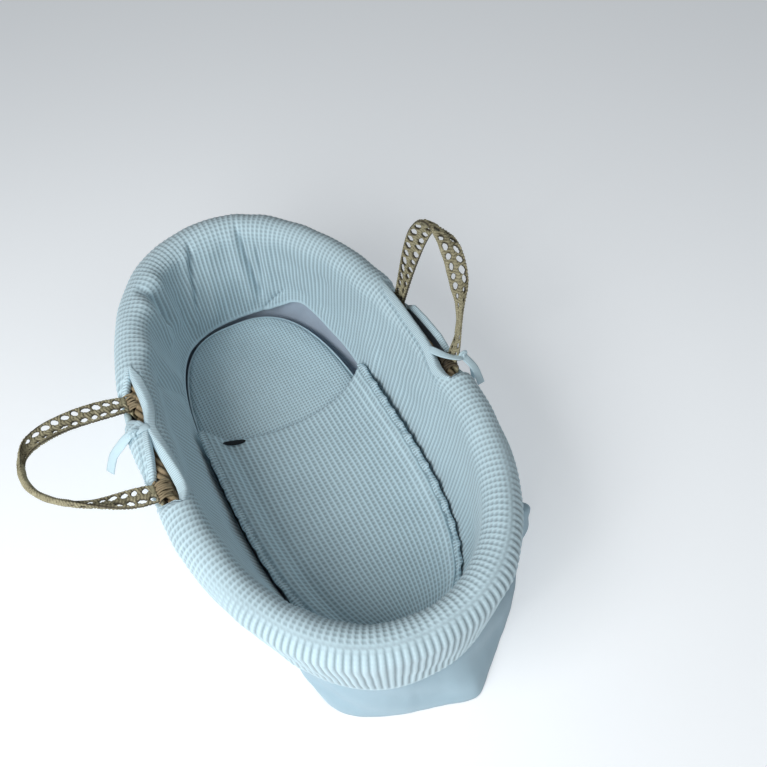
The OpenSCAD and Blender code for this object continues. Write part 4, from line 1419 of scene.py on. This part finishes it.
def buildTab():
    # plain dark tab folded over the top edge: a bowed strip with its four edges closed
    rows, columns = tab["points"]
    across = tab["across"] + tab["halfWidth"] * np.linspace(-1, 1, rows)[:, None]
    share = np.linspace(0, 1, columns)[None]
    middle = np.sin(np.linspace(0, np.pi, rows))[:, None] ** 0.5
    along = (tab["along"] + tab["tilt"] * (across - tab["across"])
             + (share - 0.5) * tab["depth"] * middle)
    lift = coverlet["thickness"] + tab["lift"] + 0.9 * np.sin(np.pi * share) * middle
    face = coverletPoint(across, along, lift)
    under = face - np.array([0, 0, tab["thickness"]])
    grids = [face[::-1], under]
    for first, second in ((under[:, 0], face[:, 0]), (face[:, -1], under[:, -1]),
                          (face[0], under[0]), (under[-1], face[-1])):
        grids.append(np.stack([first, second], 1)[::-1])
    piece = addPiece("coverletTab", "coverlet",
                     [(grid, 0.8, gridUv(*grid.shape[:2]), 0) for grid in grids],
                     [tabCloth], weld=0.02)
    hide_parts("coverlet_tab")
    return piece


quilt = buildQuilt()
trimmings = [buildFrill(-1, "left"), buildFrill(1, "right"), buildTab()]
print("coverlet made")


lining = {"foot": 9.4, "out": -5.2, "gap": 3.0, "overlap": 26, "crumple": 1.6, "thickness": 1.0,
          "share": 0.92, "height": 0.112}


def buildLining():
    # a strip down the inside of the wall that turns in over the base to meet the mattress
    count = 480
    angle, edge = evenAngles(count)
    top = (innerFootAt(angle) + lining["overlap"])[:, None]
    turn = np.broadcast_to(np.linspace(20, lining["foot"] + 1.2, 5), (len(angle), 5))
    heights = np.concatenate([top + (26 - top) * np.linspace(0, 1, 10), turn], 1)
    curve = np.concatenate([np.zeros(10), np.linspace(0.5, 4.5, 5)])[None]
    wall = wallPoint(np.broadcast_to(angle[:, None], heights.shape), lining["out"] - curve, heights)
    crumple = -lining["crumple"] * np.abs(softNoise(wall, 70, 41))
    wall = wall + outwardsAt(angle)[:, None] * (crumple * smoothStep((heights - 12) / 20))[..., None]
    bed = mattressOutline(angle)
    bed = bed + unit(bed) * lining["gap"]
    floorLine = np.concatenate([bed, np.full((len(angle), 1), lining["foot"])], -1)
    share = np.linspace(0.15, 1, 5)[None, :, None]
    flange = wall[:, -1:] * (1 - share) + floorLine[:, None] * share
    flange[..., 2] = np.maximum(flange[..., 2], lining["foot"])
    grid = np.concatenate([wall, flange], 1)
    grid[-1] = grid[0]
    piece = addPiece("lowerLining", "basket",
                     [(grid[:, ::-1], 0.8, gridUv(count + 1, grid.shape[1]), 0)],
                     [liningCloth], weld=0.02)
    thicken(piece, lining["thickness"])
    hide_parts("lower_lining")


skirt = {"rows": 34, "columns": 720, "clear": 3.0, "tuck": 18.0, "inside": 19.5,
         "billowAt": -33, "billowSpread": 6.5, "thickness": 1.2, "share": 1.02, "height": 0.098}
# How far the skirt's lower edge stands out, by angle; it billows under the hem at one place
skirtTable = np.array([
    (-180, 20), (-145, 20), (-138, 28), (-130, 42), (-124, 53), (-119, 56), (-114, 55), (-105, 53),
    (-100, 52), (-96, 53), (-92, 58), (-89, 66), (-85.5, 76), (-82, 81), (-79, 75), (-75, 66),
    (-70, 62), (-65, 62), (-60, 66), (-55, 72), (-50, 76), (-45, 82), (-40, 92), (-36, 108),
    (-32, 112), (-29, 100), (-25, 64), (-20, 38), (-14, 25), (-8, 20), (180, 20)], float)


def buildSkirt():
    # a ring that leaves the wall under the hem and widens to the table's reach at the floor,
    # with folds that grow downwards
    angle, edge = evenAngles(skirt["columns"])
    hem = rimZAt(rimXy(angle)[:, 1]) - surround["drop"]
    share = np.linspace(0, 1, skirt["rows"])[None]
    z = (hem + skirt["tuck"])[:, None] * (1 - share) + skirt["clear"] * share
    below = np.clip((hem[:, None] - 2 - z) / (hem[:, None] - 2 - skirt["clear"]), 0, 1)
    turned = (angle / degree + 180)[:, None] % 360 - 180
    reach = averaged(turned, skirtTable, (-1, 0, 1))
    billow = np.exp(-((turned - skirt["billowAt"]) / skirt["billowSpread"]) ** 2)
    out = skirt["inside"] + (reach - skirt["inside"]) * below ** (1 - 0.94 * billow)
    run = np.linspace(0, edge, len(angle))[:, None]
    spread = smoothStep((reach - 21) / 18)
    folds = (1.9 * np.sin(2 * np.pi * run / 64 + 1.5 * np.sin(run / 97))
             + 1.1 * np.sin(2 * np.pi * (run / 31 + below * 0.6)))
    slant = 4.2 * np.sin(2 * np.pi * (run / 120 - below * 1.25) + 0.8) * spread
    cloth = np.stack([np.broadcast_to(run, out.shape) / 2.2, z, np.zeros(out.shape)], -1)
    folds = folds * (1 - 0.5 * spread) + slant + 1.2 * softNoise(cloth, 34, 52)
    out = out + folds * below * (0.25 + 0.75 * smoothStep((1 - share) / 0.3))
    grid = wallPoint(np.broadcast_to(angle[:, None], out.shape), out, z)
    grid[-1] = grid[0]
    piece = addPiece("plainSkirt", "basket", [(grid, 0.8, gridUv(*out.shape), 0)], [plainCloth],
                     weld=0.02)
    thicken(piece, skirt["thickness"])
    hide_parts("skirt")


tape = {"thickness": 1.3, "curl": 0.35, "bridge": 12.0, "tail": (8.5, 14.5), "flatWidth": 0.014,
        "band": (3.6, 0.55)}


def tapeGrid(path, widths, over):
    # a flat tape along a path: over gives the way its face looks
    along = unit(np.gradient(path, axis=0))
    side = unit(np.cross(along, over))
    face = np.cross(side, along)
    across = np.linspace(-0.5, 0.5, 7)[None, :, None]
    curl = tape["curl"] * np.cos(across * 2 * np.pi)
    grid = path[:, None] + side[:, None] * across * widths[:, None, None] + face[:, None] * curl
    top = grid + face[:, None] * tape["thickness"] / 2
    under = grid - face[:, None] * tape["thickness"] / 2
    loop = np.concatenate([top, under[:, ::-1], top[:, :1]], 1)
    return pinched(loop, loop[0].mean(0), loop[-1].mean(0))[:, ::-1]


def smoothPath(points, steps):
    # Catmull-Rom curve through a few points
    points = np.array(points, float)
    ends = np.concatenate([[2 * points[0] - points[1]], points, [2 * points[-1] - points[-2]]])
    where = np.linspace(0, len(points) - 1 - 1e-9, steps)
    index = where.astype(int)
    share = (where - index)[:, None]
    a, b, c, d = [ends[index + k] for k in range(4)]
    return 0.5 * (2 * b + (c - a) * share + (2 * a - 5 * b + 4 * c - d) * share ** 2
                  + (3 * b - a - 3 * c + d) * share ** 3)


def onRoll(side, y, turn, radius):
    # a point over the roll, by angle from the crown outwards
    return np.array([side * (rimXAt(y) + radius * np.sin(turn * degree)), y,
                     rimZAt(y) + radius * np.cos(turn * degree)])


def buildTie(side, name, node, bridge, tails, knotAt, knotSize, hidden):
    # a tape across the opening, a knot, and loose tails that widen from the knot
    bridgePath = smoothPath([onRoll(side, *step) for step in bridge], 40)
    outward = unit((bridgePath - [side * rimXAt(30), 0, 212]) * [1, 0, 1])
    grids = [tapeGrid(bridgePath, np.full(40, tape["bridge"]), outward)]
    length = hidden
    narrow, wide = tape["tail"]
    for points, over in tails:
        path = smoothPath(points, 44)
        widths = narrow + (wide - narrow) * smoothStep(np.linspace(0, 1, 44) / 0.35)
        grids.append(tapeGrid(path, widths, np.broadcast_to(np.array(over, float), path.shape)))
        length = length + runLength(path)[-1]
    parts = [(grid, 0.8, gridUv(*grid.shape[:2], 0.3, 1), 0) for grid in grids]
    # the knot: a soft lump with a band drawn over it
    turn, rise = np.meshgrid(np.linspace(0, 2 * np.pi, 33),
                             np.linspace(-np.pi / 2, np.pi / 2, 17), indexing="ij")
    lump = (1 + 0.13 * np.sin(2 * turn + 1) + 0.10 * np.sin(3 * rise + 2 * turn)
            + 0.07 * np.cos(5 * turn))
    ball = np.stack([np.cos(turn) * np.cos(rise), np.sin(turn) * np.cos(rise), np.sin(rise)], -1)
    ball = ball * lump[..., None]
    ball[-1] = ball[0]
    parts.append((knotAt + ball * np.array(knotSize), 0.7, gridUv(33, 17, 0.3, 0.3), 0))
    turn = np.linspace(0, 2 * np.pi, 41)
    loop = np.stack([np.cos(turn) * (knotSize[0] + 0.6), np.cos(turn) * 1.5,
                     np.sin(turn) * (knotSize[2] + 0.6)], -1)
    radius, flat = tape["band"]
    grid = tube(knotAt + loop, radius, around=10, flat=flat, up=(0, 1, 0))
    parts.append((grid, 0.8, gridUv(41, 11, 0.3, 0.3), 0))
    piece = addPiece(name, "basket", parts, [tapeCloth], weld=0.02)
    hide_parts(node)


buildLining()
buildSkirt()
print("lining and skirt made")

# Points on the roll are given by distance along the basket, turn from the crown and radius
buildTie(
    -1, "leftTie", "left_tie",
    bridge=[(45, -24, 26), (44, -12, 30), (43, 5, 31), (42, 24, 31.5)],
    tails=[([onRoll(-1, 42, 32, 33), onRoll(-1, 42, 46, 37),
             (-277, 40, 214), (-286, 37, 201), (-294, 33, 186)], (-0.5, -0.35, 0.8))],
    knotAt=onRoll(-1, 42, 31, 33), knotSize=(6.5, 6.0, 5.5), hidden=60)
buildTie(
    1, "rightTie", "right_tie",
    bridge=[(-20, -34, 27), (-33, -20, 30.5), (-49, -2, 30), (-60, 18, 31), (-63, 38, 33), (-58, 55, 35)],
    tails=[([onRoll(1, -58, 56, 35), onRoll(1, -64, 60, 37), onRoll(1, -82, 76, 40),
             onRoll(1, -102, 88, 41) - [0, 0, 8]], (0.3, -0.3, 0.9)),
           ([onRoll(1, -57, 58, 36), onRoll(1, -60, 74, 42), onRoll(1, -68, 92, 44) - [0, 0, 14],
             onRoll(1, -76, 92, 44) - [0, 0, 34]], (0.9, 0, 0.4))],
    knotAt=onRoll(1, -58, 55, 35), knotSize=(6.5, 6.5, 6.0), hidden=70)
print("ties made")

studioFloor = {"reach": 6.0, "colour": (0.72, 0.73, 0.74), "glow": (0.9, 0.95, 1.0),
               "glowStrength": 0.38}


def buildFloor():
    reach = studioFloor["reach"]
    corners = [(-reach, -reach, 0), (reach, -reach, 0), (reach, reach, 0), (-reach, reach, 0)]
    finish = Finish("paleFloor", None)
    finish.set(colour=studioFloor["colour"], roughness=0.95, specular=0.0)
    finish.shader.inputs["Emission Color"].default_value = (*studioFloor["glow"], 1)
    finish.shader.inputs["Emission Strength"].default_value = studioFloor["glowStrength"]
    mesh = bpy.data.meshes.new("floor")
    mesh.from_pydata(corners, [], [(0, 1, 2, 3)])
    mesh.materials.append(finish.material)
    floor = bpy.data.objects.new("floor", mesh)
    bpy.context.scene.collection.objects.link(floor)


buildFloor()
